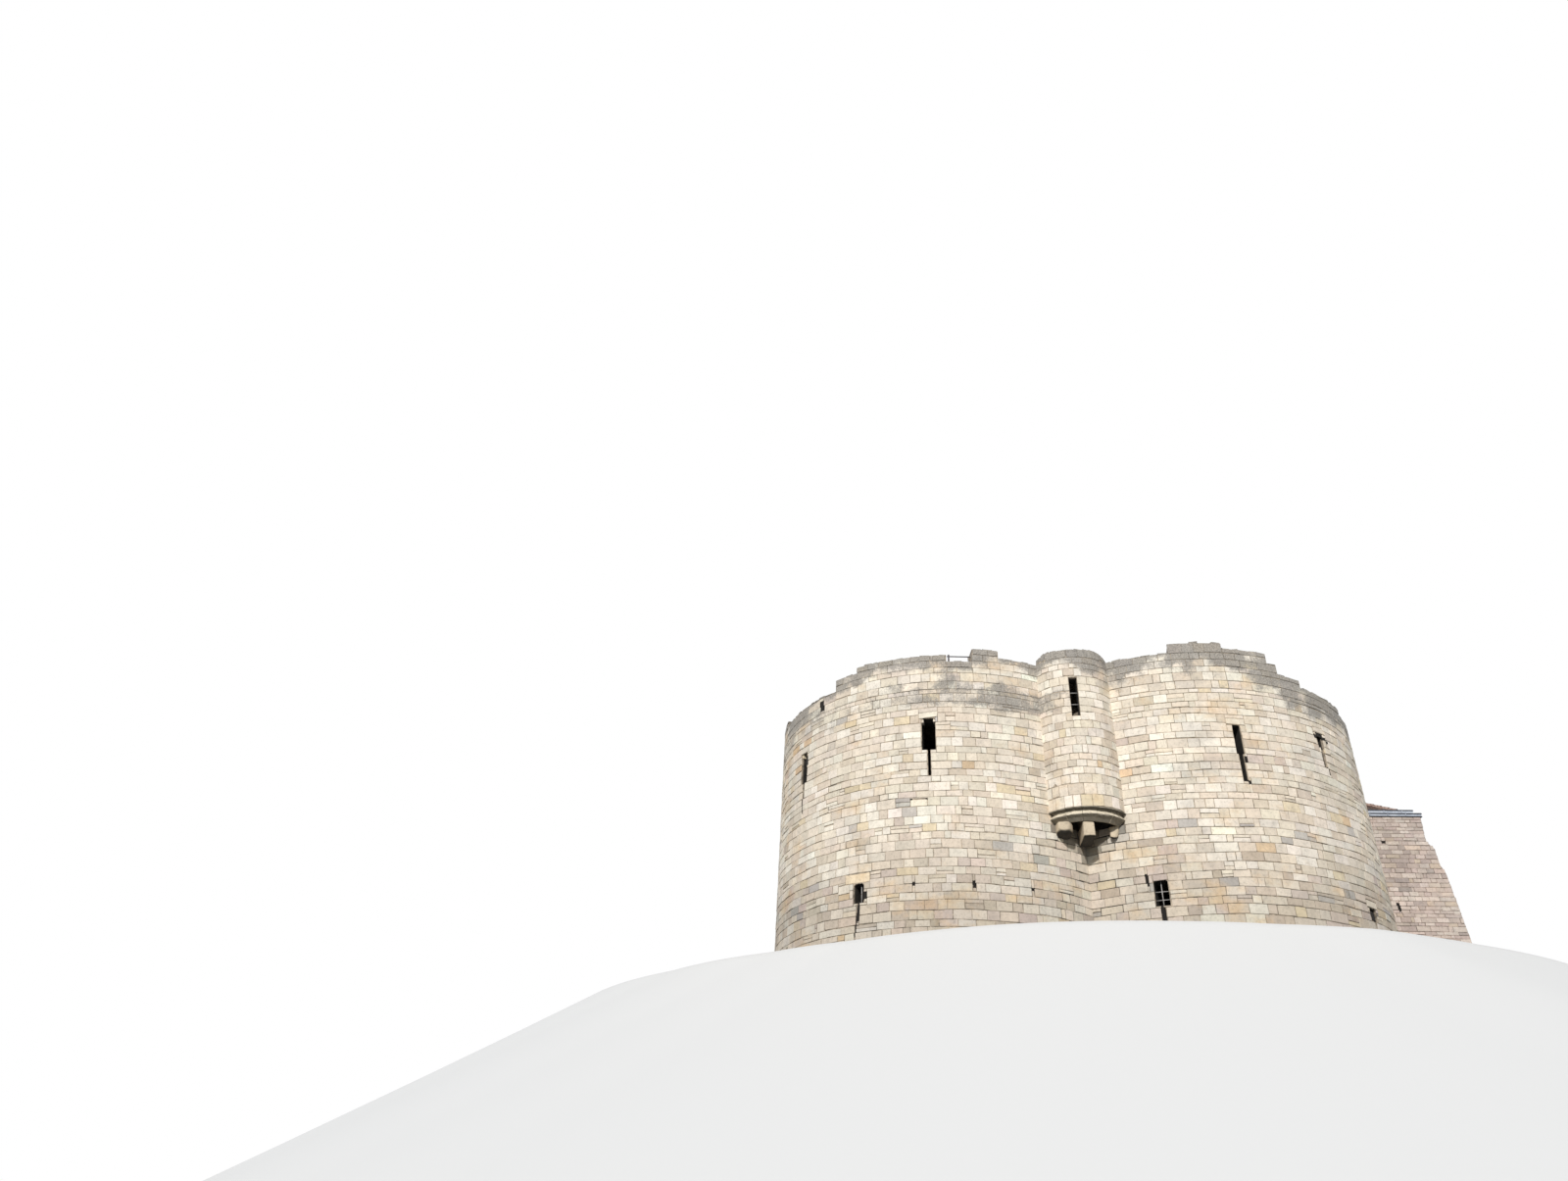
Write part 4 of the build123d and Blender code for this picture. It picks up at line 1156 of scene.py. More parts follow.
levels_rng = np.random.default_rng(41)
WALL_ROWS = courses(0.0, WALL_TOP, COURSE_HEIGHTS, levels_rng)
PARAPET_ROWS = courses(WALL_TOP, HIGHEST_TOP, COURSE_HEIGHTS, levels_rng)
BIG_ROWS = [(RING_TOP, RING_TOP + 0.40), (RING_TOP + 0.40, RING_TOP + 0.78)]
TURRET_ROWS = BIG_ROWS + courses(BIG_ROWS[-1][1], TURRET_TOP, COURSE_HEIGHTS, levels_rng)
FRONT_WALL = flat_face((0.0, -FORE_FRONT, 0.0), (1.0, 0.0, 0.0), (0.0, -1.0, 0.0))


def lobe_kind(signs):
    """The openings, broken places, large stones and parapet's steps of a lobe."""
    return FRONT_LOBE if signs[1] < 0 else BACK_LOBE


def lobe_frame(signs):
    """A lobe's centre, the bearing of its axis and the way in which its angles turn."""
    centre = (signs[0] * LOBE_PLACE, signs[1] * LOBE_PLACE)
    return centre, math.atan2(signs[1], signs[0]), -signs[0] * signs[1]


def lobe_surface(signs, radius, outward=1.0):
    """A round face of a lobe, whose run is counted from the lobe's axis."""
    centre, bearing, turn = lobe_frame(signs)
    return round_face(centre, radius, bearing, turn, outward)


def crossing(radius, other_radius):
    """The angle from a lobe's axis at which its circle runs into a circle about a turret's axis."""
    to_turret = (TURRET_PLACE - LOBE_PLACE, LOBE_PLACE)
    distance = math.hypot(*to_turret)
    off_axis = math.degrees(math.acos((to_turret[0] - to_turret[1]) / (math.sqrt(2) * distance)))
    within = (radius ** 2 + distance ** 2 - other_radius ** 2) / (2 * radius * distance)
    return off_axis - math.degrees(math.acos(within))


CORNER_ANGLE = 45.0 + math.degrees(math.asin(LOBE_PLACE / LOBE_RADIUS))
TURRET_ANGLE = crossing(LOBE_RADIUS, TURRET_RADIUS) + 0.4
FORE_ANGLE = 45.0 + math.degrees(math.asin((LOBE_PLACE - FORE_HALF_WIDTH) / LOBE_RADIUS)) + 0.4


def to_run(angle, radius=LOBE_RADIUS):
    """The run at an angle from a lobe's axis."""
    return radius * math.radians(angle)


def wall_spans(is_front):
    """The face of a lobe below its parapet, as one span a row.

    It ends at the turrets, above their rings, or in the corners below them, and at the forebuilding.
    """
    def spans(low, high):
        plus = TURRET_ANGLE if low > RING_FOOT else CORNER_ANGLE
        minus = plus
        if is_front:
            minus = FORE_ANGLE if low < FORE_WALL_TOP - 0.1 else CORNER_ANGLE
        return [(to_run(-minus), to_run(plus), WALL_TOP)]
    return spans


def parapet_spans(steps, radius, low_end, high_end, rng):
    """The face of a broken parapet: one span for each step, with toothed ends."""
    def spans(low, high):
        teeth = rng.uniform(-0.05, 0.05, len(steps) + 1)
        found = []
        for index, (start, end, height) in enumerate(steps):
            left = max(to_run(start, radius) + teeth[index + 1], to_run(low_end, radius))
            right = min(to_run(end, radius) + teeth[index], to_run(high_end, radius))
            if right - left > 0.1:
                found.append((left, right, WALL_TOP + height))
        return sorted(found)
    return spans


def loop_parts(opening, floor_level, jag, rng):
    """The parts of a loop or low window, cut into short lifts whose edges are jagged."""
    angle, head, slit, slit_foot, head_foot, top = opening
    middle = to_run(angle)
    parts = []
    for low, high, width in ((slit_foot, head_foot, slit), (head_foot, top, head)):
        lifts = max(1, round((high - low) / LIFT_HEIGHT))
        edges = np.linspace(low, high, lifts + 1)
        for foot, crest in zip(edges[:-1], edges[1:]):
            ragged = rng.uniform(-0.3 * jag, jag, 2)
            parts.append((floor_level + foot, floor_level + crest, middle - width / 2 - ragged[0],
                          middle + width / 2 + ragged[1]))
    return parts


def wound_parts(middle, wound, rng):
    """The parts of a broken place, in lifts that lean over and vary in width."""
    foot, top, width, lean = wound[1:]
    lifts = max(1, round((top - foot) / WOUND_LIFT))
    edges = np.linspace(foot, top, lifts + 1)
    parts = []
    for low, high in zip(edges[:-1], edges[1:]):
        shift = middle + lean * (top - (low + high) / 2) / (top - foot)
        half = width * rng.uniform(0.40, 0.62)
        parts.append((low, high, shift - half, shift + half))
    return parts


def crest_line(steps, radius=LOBE_RADIUS):
    """The level of the broken top over a run, passing evenly from the middle of one step to the next."""
    middles = sorted((to_run((start + end) / 2, radius), WALL_TOP + height) for start, end, height in steps)
    runs, tops = zip(*middles)
    return lambda run: np.interp(run, runs, tops)


def dressed_stones(signs):
    """The large stones round a lobe's openings, and a carved shoulder in each top corner of a back loop."""
    lobe = lobe_kind(signs)
    stones = [(to_run(angle) - width / 2, to_run(angle) + width / 2, low, high)
              for angle, width, low, high in lobe["dressings"]]
    shouldered = lobe["loops"] if signs[1] > 0 else []
    shoulders = []
    for angle, head, slit, slit_foot, head_foot, top in shouldered:
        level = UPPER_FLOOR + top + 0.01
        for side in (-1.0, 1.0):
            edge = to_run(angle) + side * (head / 2 + 0.02)
            inner = edge - side * SHOULDER_WIDTH
            shoulders.append((min(edge, inner), max(edge, inner), level - SHOULDER_HEIGHT, level))
    return np.array(stones), np.array(shoulders)


def lobe_openings(signs, rng):
    """Every opening in the outer face of a lobe, and its broken places."""
    lobe = lobe_kind(signs)
    openings = [loop_parts(loop, UPPER_FLOOR, LOOP_JAG, rng) for loop in lobe["loops"]]
    openings += [loop_parts(window, GROUND_FLOOR, WINDOW_JAG, rng) for window in lobe["low_windows"]]
    return openings, [wound_parts(to_run(wound[0]), wound, rng) for wound in lobe["wounds"]]


def make_hollows(name, surface, wounds, rng):
    """Dark backs of painted shade just over the wall's face, a little larger than the gaps between the
    stones.
    """
    backs = np.array([(left, right, low, high) for wound in wounds for low, high, left, right in wound])
    make_stones(name, [(surface, backs + HOLLOW_MARGIN, HIGHEST_TOP, HOLE_SHADE_SHEETS)], HOLE_SHADE, rng)


def make_lobe(name, signs, seed):
    """The stones on a lobe's outer face, round its openings and on its parapet."""
    rng = np.random.default_rng(seed)
    outer = lobe_surface(signs, LOBE_RADIUS)
    crest = crest_line(lobe_kind(signs)["steps"])
    openings, wounds = lobe_openings(signs, rng)
    dressings, shoulders = dressed_stones(signs)
    kept_clear = [[(low, high, left, right)] for left, right, low, high in dressings]
    walls = lay(WALL_ROWS, wall_spans(signs[1] < 0), openings + wounds + kept_clear, STONE_LENGTHS, rng)
    walls = split_some(walls, SPLIT_SHARE, rng)
    make_stones(f"{name}_wall_stones", [(outer, walls, crest, {})], KEEP_STONE, rng)
    groups = [(outer, dressings, crest, DRESSED), (outer, shoulders, crest, SHOULDERS)]
    make_stones(f"{name}_dressed_stones", groups, KEEP_STONE, rng,
                even_colours(DRESSING_COLOURS))
    make_hollows(f"{name}_hollows", outer, wounds, rng)
    make_parapet(name, signs, outer, wounds, rng)


def make_parapet(name, signs, outer, wounds, rng):
    """The stones on both faces and the top of a lobe's broken parapet."""
    is_front = signs[1] < 0
    steps = lobe_kind(signs)["steps"]
    low_end = -CORNER_ANGLE if is_front else -TURRET_ANGLE
    spans = parapet_spans(steps, LOBE_RADIUS, low_end, TURRET_ANGLE, rng)
    outside = lay(PARAPET_ROWS, spans, wounds, STONE_LENGTHS, rng)
    inner_radius = LOBE_RADIUS - PARAPET_THICKNESS
    inner = lobe_surface(signs, inner_radius, -1.0)
    inner_end = crossing(inner_radius, TURRET_HOLLOW)
    low_end_inside = -INNER_CORNER_ANGLE if is_front else -inner_end
    spans = parapet_spans(steps, inner_radius, low_end_inside, inner_end, rng)
    rows = courses(WALK_LEVEL, HIGHEST_TOP, COURSE_HEIGHTS, rng)
    inside = lay(rows, spans, [], STONE_LENGTHS, rng)
    groups = [(outer, outside, crest_line(steps), {}), (inner, inside, crest_line(steps, inner_radius), {})]
    groups += cap_groups(signs, steps, low_end, TURRET_ANGLE, rng)
    make_stones(f"{name}_parapet_stones", groups, KEEP_STONE, rng)


def cap_groups(signs, steps, low_end, high_end, rng):
    """Rough stones bedded across the top of each step of a parapet, in two rows."""
    groups = []
    for start, end, height in steps:
        low, high = max(start, low_end), min(end, high_end)
        if high - low < NARROWEST_STEP:
            continue
        level = WALL_TOP + height
        middle = PARAPET_THICKNESS * rng.uniform(0.42, 0.58)
        rows = [(-0.02, middle), (middle, PARAPET_THICKNESS + 0.01)]
        stones = lay(rows, [(to_run(low), to_run(high), 1.0)], [], CAP_LENGTHS, rng)
        centre, bearing, turn = lobe_frame(signs)
        groups.append((ring_top(centre, LOBE_RADIUS, bearing, turn, level), stones, level + 0.1, CAPS))
    return groups


def reach_across(offset, half_width):
    """How far the plan of the crossed arms reaches on each side, at a distance from its middle line."""
    beyond = abs(offset)
    if beyond < half_width:
        return LOBE_OFFSET + math.sqrt(half_width ** 2 - beyond ** 2)
    return math.sqrt(max(half_width ** 2 - max(beyond - LOBE_OFFSET, 0.0) ** 2, 0.0))


def level_surface(level, signs=(1, 1), side=1.0):
    """A level plane whose run goes out along a lobe's axis, and whose level goes across it."""
    axis = np.array([signs[0], signs[1], 0.0]) / math.sqrt(2)
    return floor_face((0.0, 0.0, level), axis, side * np.array([-axis[1], axis[0], 0.0]))


def make_floor(name, level, half_width, kind, seed):
    """Boards or flagstones over the plan of the crossed arms, one row beside the other."""
    widths, lengths, settings, slot, material, colours = kind
    rng = np.random.default_rng(seed)
    reach = LOBE_OFFSET + half_width
    rows = courses(-reach, reach, widths, rng)

    def spans(low, high):
        far = min(reach_across(low, half_width), reach_across(high, half_width))
        return [(-far, far, reach)] if far > 0.2 else []

    stones = lay(rows, spans, [], lengths, rng)
    make_stones(name, [(level_surface(level), stones, level + HIGHEST_TOP, settings)], material, rng,
                even_colours(colours))


def make_wall_walk(name, signs, seed):
    """Flagstones in rings behind the parapet, and in rows across the corners beside the arms.

    Lobes side by side share a corner: the rows are the same in both, and the plus side of one lobe takes
    the flags on the line between them.
    """
    rng = np.random.default_rng(seed)
    centre, bearing, turn = lobe_frame(signs)
    outside = PARAPET_THICKNESS + 0.01
    edges = np.linspace(outside, LOBE_RADIUS - DECK_HALF_WIDTH - 0.01, WALK_RINGS + 1).tolist()
    quarter = to_run(90.0)
    flags = lay(list(zip(edges[:-1], edges[1:])), [(-quarter, quarter, LOBE_RADIUS)], [], WALK_FLAG_LENGTHS,
                rng)
    laid = [(ring_top(centre, LOBE_RADIUS, bearing, turn, WALK_LEVEL), flags)]
    inner_radius = LOBE_RADIUS - outside
    rows = courses(DECK_HALF_WIDTH + 0.01, inner_radius, CORNER_WIDTHS, np.random.default_rng(CORNER_SEED))
    for side in (-1.0, 1.0):
        def corner(low, high):
            near = low if side > 0.0 else high
            return [(near, LOBE_OFFSET, inner_radius + 1.0)] if LOBE_OFFSET - near > 0.1 else []

        laid.append((level_surface(WALK_LEVEL, signs, side), lay(rows, corner, [], CORNER_LENGTHS, rng)))
    groups = [(surface, stones, WALK_LEVEL + TOP_OVER_PAVING, FLAGS) for surface, stones in laid]
    make_stones(f"{name}_wall_walk_flags", groups, PAVING, rng, even_colours(PAVING_COLOURS))


def turret_axes(turn):
    """The outward, sideways and upward directions of a turret's own frame."""
    facing = math.radians(turn)
    out = np.array([math.cos(facing), math.sin(facing), 0.0])
    return out, np.array([-out[1], out[0], 0.0]), UP


def window_shift(turn):
    """How far aside a turret's window stands, which only the one in the photograph's does."""
    return -TURRET_WINDOW_SHIFT if turn == 180.0 else 0.0


def turret_half_run():
    """The run from the middle of a turret's face to where it goes into a lobe."""
    distance = math.hypot(TURRET_PLACE - LOBE_PLACE, LOBE_PLACE)
    within = (TURRET_RADIUS ** 2 + distance ** 2 - LOBE_RADIUS ** 2) / (2 * TURRET_RADIUS * distance)
    to_lobe = math.pi - math.atan2(LOBE_PLACE, TURRET_PLACE - LOBE_PLACE)
    return TURRET_RADIUS * (to_lobe - math.acos(within)) + 0.02


def make_turret(name, turn, seed):
    """The stones on a turret's shaft and on its broken top."""
    rng = np.random.default_rng(seed)
    facing = math.radians(turn)
    centre = (TURRET_PLACE * math.cos(facing), TURRET_PLACE * math.sin(facing))
    half = turret_half_run()
    crown = TURRET_RADIUS * math.asin(CROWN_HALF_WIDTH / TURRET_RADIUS)
    width, sill, head = TURRET_WINDOW
    shift = window_shift(turn)
    window = [(sill, head, shift - width / 2, shift + width / 2)]

    def spans(low, high):
        if low < TURRET_SHOULDER - 0.15:
            return [(-half, half, TURRET_SHOULDER)]
        return [(-crown, crown, TURRET_TOP)]

    shaft = lay(TURRET_ROWS, spans, [window], TURRET_LENGTHS, rng)
    caps = lay([(-0.02, 0.2), (0.2, 0.4)], [(-half, half, 1.0)], [], TURRET_CAP_LENGTHS, rng)
    dome = (TURRET_TOP - TURRET_SHOULDER, crown, crown + CROWN_SLOPE)
    groups = [(round_face(centre, TURRET_RADIUS, facing, 1.0), shaft, TURRET_AGE_TOP, {}),
              (ring_top(centre, TURRET_RADIUS, facing, 1.0, TURRET_SHOULDER, dome), caps, TURRET_TOP + 0.1,
               TURRET_CAPS)]
    make_stones(f"{name}_stones", groups, KEEP_STONE, rng)
    make_turret_inside(name, centre, turn, half, rng)


def make_turret_inside(name, centre, turn, half, rng):
    """Inside a turret's broken top: the wall's inner face, the platform's flags round a hatch, the riser."""
    facing = math.radians(turn)
    far = TURRET_HOLLOW * half / TURRET_RADIUS
    rows = courses(TURRET_PLATFORM, TURRET_SHOULDER, COURSE_HEIGHTS, rng)
    face = lay(rows, [(-far, far, TURRET_SHOULDER)], [], TURRET_LENGTHS, rng)
    rows = courses(WALK_LEVEL, TURRET_PLATFORM, RISER_COURSES, rng)
    rest = 2.0 * math.pi * TURRET_HOLLOW - far
    riser = lay(rows, [(far, rest, TURRET_PLATFORM)], [], TURRET_LENGTHS, rng)
    groups = [(round_face(centre, TURRET_HOLLOW, facing, 1.0, -1.0), face, TURRET_AGE_TOP, {}),
              (round_face(centre, TURRET_HOLLOW, facing, 1.0), riser, TURRET_TOP, {})]
    make_stones(f"{name}_inner_stones", groups, KEEP_STONE, rng)

    out, along = turret_axes(turn)[:2]
    platform = floor_face((centre[0], centre[1], TURRET_PLATFORM), along, out)
    middle, aside, half_hatch = TURRET_HATCH
    hatch = [(middle - half_hatch, middle + half_hatch, aside - half_hatch, aside + half_hatch)]
    reach = TURRET_HOLLOW - 0.01

    def spans(low, high):
        wide = math.sqrt(max(reach ** 2 - max(abs(low), abs(high)) ** 2, 0.0))
        return [(-wide, wide, reach)] if wide > 0.12 else []

    edges = [-reach, middle - half_hatch - 0.30, middle - half_hatch, middle + half_hatch, 0.62, reach]
    flags = lay(list(zip(edges[:-1], edges[1:])), spans, [hatch], PLATFORM_LENGTHS, rng)
    groups = [(platform, flags, TURRET_PLATFORM + TOP_OVER_PAVING, FLAGS)]
    make_stones(f"{name}_platform_flags", groups, PAVING, rng, even_colours(PAVING_COLOURS))


def make_ring(name, turn, seed):
    """The moulded ring under a turret: its profile carried round in stones with open joints between."""
    rng = np.random.default_rng(seed)
    out, side, up = turret_axes(turn)
    cuts = np.linspace(-RING_HALF_ANGLE, RING_HALF_ANGLE, RING_STONES + 1)
    cuts[1:-1] += rng.uniform(-0.05, 0.05, len(cuts) - 2)
    bodies = []
    for start, end in zip(cuts[:-1], cuts[1:]):
        turns = np.linspace(start + RING_JOINT_ANGLE, end - RING_JOINT_ANGLE, 7)
        rays = np.cos(turns)[:, None] * out + np.sin(turns)[:, None] * side
        profile = np.array(RING_PROFILE) + rng.normal(0.0, 0.004, 2)
        worn = profile[None] + rng.normal(0.0, 0.0035, (len(turns), len(profile), 2))
        worn[..., 0] += 0.012 * waves(rays, 0.4, seed)[:, None]
        places = np.broadcast_to(out * TURRET_PLACE + up * RING_FOOT, rays.shape)
        bodies.append(swept(places, rays, np.broadcast_to(up, rays.shape), worn))
    piece = make_bodies(f"{name}_ring_stones", bodies, MOULDED)
    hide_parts(f"{name}_ring")


def make_corbels(name, turn, seed):
    """Three corbels: a squared block in the middle, and rounded ones, one of them broken, at its sides."""
    out, side, up = turret_axes(turn)
    second = BROKEN_CORBEL if turn == 180.0 else RIGHT_CORBEL
    bodies = []
    for index, corbel in enumerate((CENTRE_CORBEL, LEFT_CORBEL, second)):
        place, width, setback, length, half_height, rise, squareness, rough = corbel
        nose = TURRET_REACH - setback
        tail = nose - length
        middle = out * (nose + tail) / 2 + side * place + up * (RING_FOOT - half_height + rise)
        sizes = ((nose - tail) / 2, width / 2, half_height)
        bodies.append(boulder(middle, (out, side, up), sizes, squareness, rough, seed + 5 * index))
    piece = make_bodies(f"{name}_corbel_stones", bodies, CARVED, smooth=True)
    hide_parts(f"{name}_corbels")


def make_turret_bars(name, turn):
    """Two flat-lying bars across a turret's window."""
    out, side, up = turret_axes(turn)
    width, sill, head = TURRET_WINDOW
    shift = window_shift(turn)
    bodies = []
    for share in TURRET_BAR_SHARES:
        level = sill + share * (head - sill)
        reach = width / 2 + BAR_END
        ends = [out * (TURRET_REACH - TURRET_BAR_DEPTH) + side * (shift + end * reach) + up * level
                for end in (-1.0, 1.0)]
        bodies.append(rod(*ends, TURRET_BAR_RADIUS))
    make_bodies(f"{name}_window_bars", bodies, BAR_IRON, smooth=True)


def make_low_window_bars(name, signs):
    """One upright bar in a back lobe's low window; one upright and two cross bars in a front lobe's."""
    angle, head, slit, slit_foot, head_foot, top = lobe_kind(signs)["low_windows"][0]
    foot, crest = GROUND_FLOOR + head_foot, GROUND_FLOOR + top
    radius = LOBE_RADIUS - LOW_BAR_DEPTH
    surface = lobe_surface(signs, radius)
    middle = to_run(angle, radius)

    def place(run, level):
        return surface(np.array([middle + run]), np.array([level]))[0][0]

    ends = [place(0.01, foot - UPRIGHT_BAR_END), place(0.01, crest + UPRIGHT_BAR_END)]
    bodies = [rod(*ends, UPRIGHT_BAR_RADIUS)]
    if signs[1] < 0:
        for share in CROSS_BAR_SHARES:
            level = foot + share * (crest - foot)
            ends = [place(aside, level) for aside in (-head / 2 - BAR_END, head / 2 + BAR_END)]
            bodies.append(rod(*ends, CROSS_BAR_RADIUS))
    make_bodies(f"{name}_low_window_bars", bodies, BAR_IRON, smooth=True)


# Forebuilding

def tile_row(start, along, inward, row, low, high, rng):
    """One row of tiles: each a thin cambered plate with three lines across and four points round each.

    The middle line stands higher by the camber, the lower end by the lap. Tiles behind a lobe's face and
    slivers at the hips are left out.
    """
    slope = inward * math.cos(ROOF_PITCH) + UP * math.sin(ROOF_PITCH)
    facing = UP * math.cos(ROOF_PITCH) - inward * math.sin(ROOF_PITCH)
    count = max(int((high - low) / TILE_WIDTH) + 1, 1)
    runs = low + TILE_WIDTH * (np.arange(count) + 0.5 * (row % 2))
    runs = runs[runs < high]
    lowest = row * TILE_GAUGE - 0.015 + rng.normal(0.0, 0.004, len(runs))
    across = np.clip(runs[:, None] + TILE_WIDTH * np.array([-0.49, 0.0, 0.49]), low, high)
    lift = rng.normal(0.0, 0.002, len(runs))[:, None] + np.array([0.0, TILE_CAMBER, 0.0])
    lower, upper = TILE_ENDS
    around = [(*lower, 0.0), (*upper, 0.0), (*upper, TILE_THICKNESS), (*lower, TILE_THICKNESS)]
    tiles = np.stack([start + across[..., None] * along + (lowest + along_slope)[:, None, None] * slope
                      + (lift + height - thick)[..., None] * facing
                      for along_slope, height, thick in around], axis=1)
    centre = tiles.mean(axis=(1, 2))
    keep = (centre[:, 1] < -LOBE_PLACE) & (across[:, 2] - across[:, 0] > 0.04)
    for side in (-1, 1):
        keep &= np.hypot(centre[:, 0] - side * LOBE_PLACE, centre[:, 1] + LOBE_PLACE) > LOBE_RADIUS - 0.05
    return tiles[keep].reshape(-1, 12, 3)


def make_tiles(seed):
    """Plain clay tiles on the front slope and the two side slopes, each lying on the two rows below."""
    rng = np.random.default_rng(seed)
    rows = int(ROOF_HALF_WIDTH / math.cos(ROOF_PITCH) / TILE_GAUGE)
    places = []
    for side in (0.0, -1.0, 1.0):
        start = np.array([side * ROOF_HALF_WIDTH, -ROOF_FRONT, ROOF_FOOT])
        along, inward = np.array([[0.0, 1.0, 0.0], [-side, 0.0, 0.0]] if side else
                                 [[1.0, 0.0, 0.0], [0.0, 1.0, 0.0]])
        for row in range(rows):
            inset = row * TILE_GAUGE * math.cos(ROOF_PITCH)
            low, high = inset - ROOF_HALF_WIDTH, ROOF_HALF_WIDTH - inset
            if side:
                low, high = inset, ROOF_FRONT - LOBE_PLACE
            places.append(tile_row(start, along, inward, row, low, high, rng))
    places = np.concatenate(places)
    tints = even_colours(TILE_COLOURS_WITH_SHADE)(places.mean(axis=1), rng)
    ring = np.arange(12).reshape(4, 3)
    around = np.roll(ring, -1, axis=0)
    quads = np.stack([ring[:, :-1], ring[:, 1:], around[:, 1:], around[:, :-1]], axis=-1).reshape(-1, 4)
    offsets = 12 * np.arange(len(places))[:, None]
    faces = (quads[None] + offsets[..., None]).reshape(-1, 4).tolist()
    for end in (ring[::-1, 0], ring[:, 2]):
        faces += (end[None] + offsets).tolist()
    mesh = bpy.data.meshes.new("forebuilding_tiles")
    mesh.from_pydata(places.reshape(-1, 3), [], faces)
    tint_points(mesh, np.repeat(tints, 12, axis=0))
    turn_outwards(mesh)
    finish("forebuilding_tiles", mesh, TILES)


def make_hip_tiles(seed):
    """Half-round tiles along the two hips and the ridge, each lapped over the one below."""
    rng = np.random.default_rng(seed)
    peak = np.array([0.0, ROOF_HALF_WIDTH - ROOF_FRONT, ROOF_FOOT + ROOF_HALF_WIDTH * math.tan(ROOF_PITCH)])
    lines = [(np.array([side * ROOF_HALF_WIDTH, -ROOF_FRONT, ROOF_FOOT]), peak) for side in (-1.0, 1.0)]
    lines.append((peak, np.array([0.0, -CORNER_REACH, peak[2]])))
    turns = np.linspace(0.0, math.pi, 9)
    outer = np.stack([np.cos(turns), np.sin(turns)], axis=-1)
    section = np.stack([np.concatenate([outer * radius, outer[::-1] * (radius - HIP_THICKNESS)])
                        for radius in HIP_RADII])
    bodies = []
    for start, end in lines:
        length = np.linalg.norm(end - start)
        along = (end - start) / length
        side = np.cross(along, UP)
        side /= np.linalg.norm(side)
        up = np.cross(side, along)
        count = max(int(length / HIP_LENGTH), 1)
        for index in range(count):
            steps = np.array([index * length / count - 0.02, (index + 1) * length / count + 0.03])
            places = start + steps[:, None] * along - HIP_SUNK * up
            profile = section + rng.normal(0.0, 0.002, 2)
            bodies.append(swept(places, np.stack([side] * 2), np.stack([up] * 2), profile))
    make_bodies("forebuilding_hip_tiles", bodies, HIP_TILES)


def lead_lines(inset):
    """The side lines and the front line of a step of the lead: start, end and outward direction."""
    half = FORE_HALF_WIDTH + LEAD_OVERHANG - inset
    front = FORE_FRONT + BUTTRESS_OUTS[-1] + LEAD_OVERHANG - inset
    meets = LOBE_PLACE + math.sqrt(LOBE_RADIUS ** 2 - (half - LOBE_PLACE) ** 2) - 0.05
    lines = [((side * half, -meets, 0.0), (side * half, -front, 0.0), (side, 0.0, 0.0))
             for side in (-1.0, 1.0)]
    lines.append(((-half, -front, 0.0), (half, -front, 0.0), (0.0, -1.0, 0.0)))
    return np.array(lines)


def make_lead(seed):
    """Rounded lips along both steps of the lead, dark as painted shade lines, and rolls across them."""
    rng = np.random.default_rng(seed)
    lip, roll = oval(*LEAD_LIP), oval(*LEAD_ROLL)
    rolls, lips = [], []
    earlier = FORE_WALL_TOP
    for inset, level in LEAD_STEPS:
        for start, end, out in lead_lines(inset):
            length = np.linalg.norm(end - start)
            along = (end - start) / length
            for edge, size in ((level - 0.012, 1.0), (earlier + 0.012, 0.8)):
                steps = np.linspace(0.0, length, max(int(length / LIP_LENGTH), 2))
                places = start + steps[:, None] * along + UP * edge
                places = places + UP * rng.normal(0.0, 0.003, (len(steps), 1))
                each = np.ones((len(steps), 1))
                lips.append(swept(places, each * out, each * UP, lip * size))
            for step in np.arange(0.4, length - 0.1, ROLL_SPACING):
                foot = start + along * step + UP * earlier + out * 0.004
                crest = start + along * step + UP * level + out * 0.004
                places = np.stack([foot, crest, crest - out * ROLL_RETURN])
                ups = np.stack([out, (out + UP) / math.sqrt(2), UP])
                rolls.append(swept(places, np.stack([along] * 3), ups, roll))
        earlier = level
    make_bodies("forebuilding_lead_rolls", rolls, LEAD, smooth=True)
    make_bodies("forebuilding_lead_edges", lips, LEAD_EDGE_SHADE, smooth=True)


def jamb_stones(half, reaches, low, high, heights, rng):
    """Squared stones up both sides of an opening, short and long by turns."""
    stones = []
    for index, (foot, head) in enumerate(courses(low, high, heights, rng)):
        reach = half + reaches[index % 2]
        stones += [(-reach, -half, foot, head), (half, reach, foot, head)]
    return stones


def make_door_arch(seed):
    """Wedge stones round the doorway's arch, and squared stones up its sides and round the window."""
    rng = np.random.default_rng(seed)
    fan = fan_face((0.0, -FORE_FRONT, FORE_DOOR_SPRING), (1.0, 0.0, 0.0), (0.0, -1.0, 0.0))
    rows = [(FORE_DOOR_RADIUS, FORE_DOOR_RADIUS + ARCH_DEPTH)]
    wedges = lay(rows, [(0.0, math.pi, 2.0)], [], WEDGE_WIDTHS, rng)
    width, sill, head = FORE_WINDOW
    stones = jamb_stones(FORE_DOOR_RADIUS, (0.28, 0.40), 0.0, FORE_DOOR_SPRING, (0.24, 0.34), rng)
    stones += jamb_stones(width / 2, (0.20, 0.30), sill, head, (0.22, 0.28), rng)
    stones += [(-0.42, 0.42, head, head + 0.24), (-0.38, 0.38, sill - 0.16, sill)]
    groups = [(fan, wedges, UNAGED_TOP, dict(ARCH_STONES, joint=0.006)),
              (FRONT_WALL, np.array(stones), UNAGED_TOP, ARCH_STONES)]
    make_stones("forebuilding_dressings", groups, FORE_STONE, rng,
                even_colours(FORE_COLOURS[:2]))


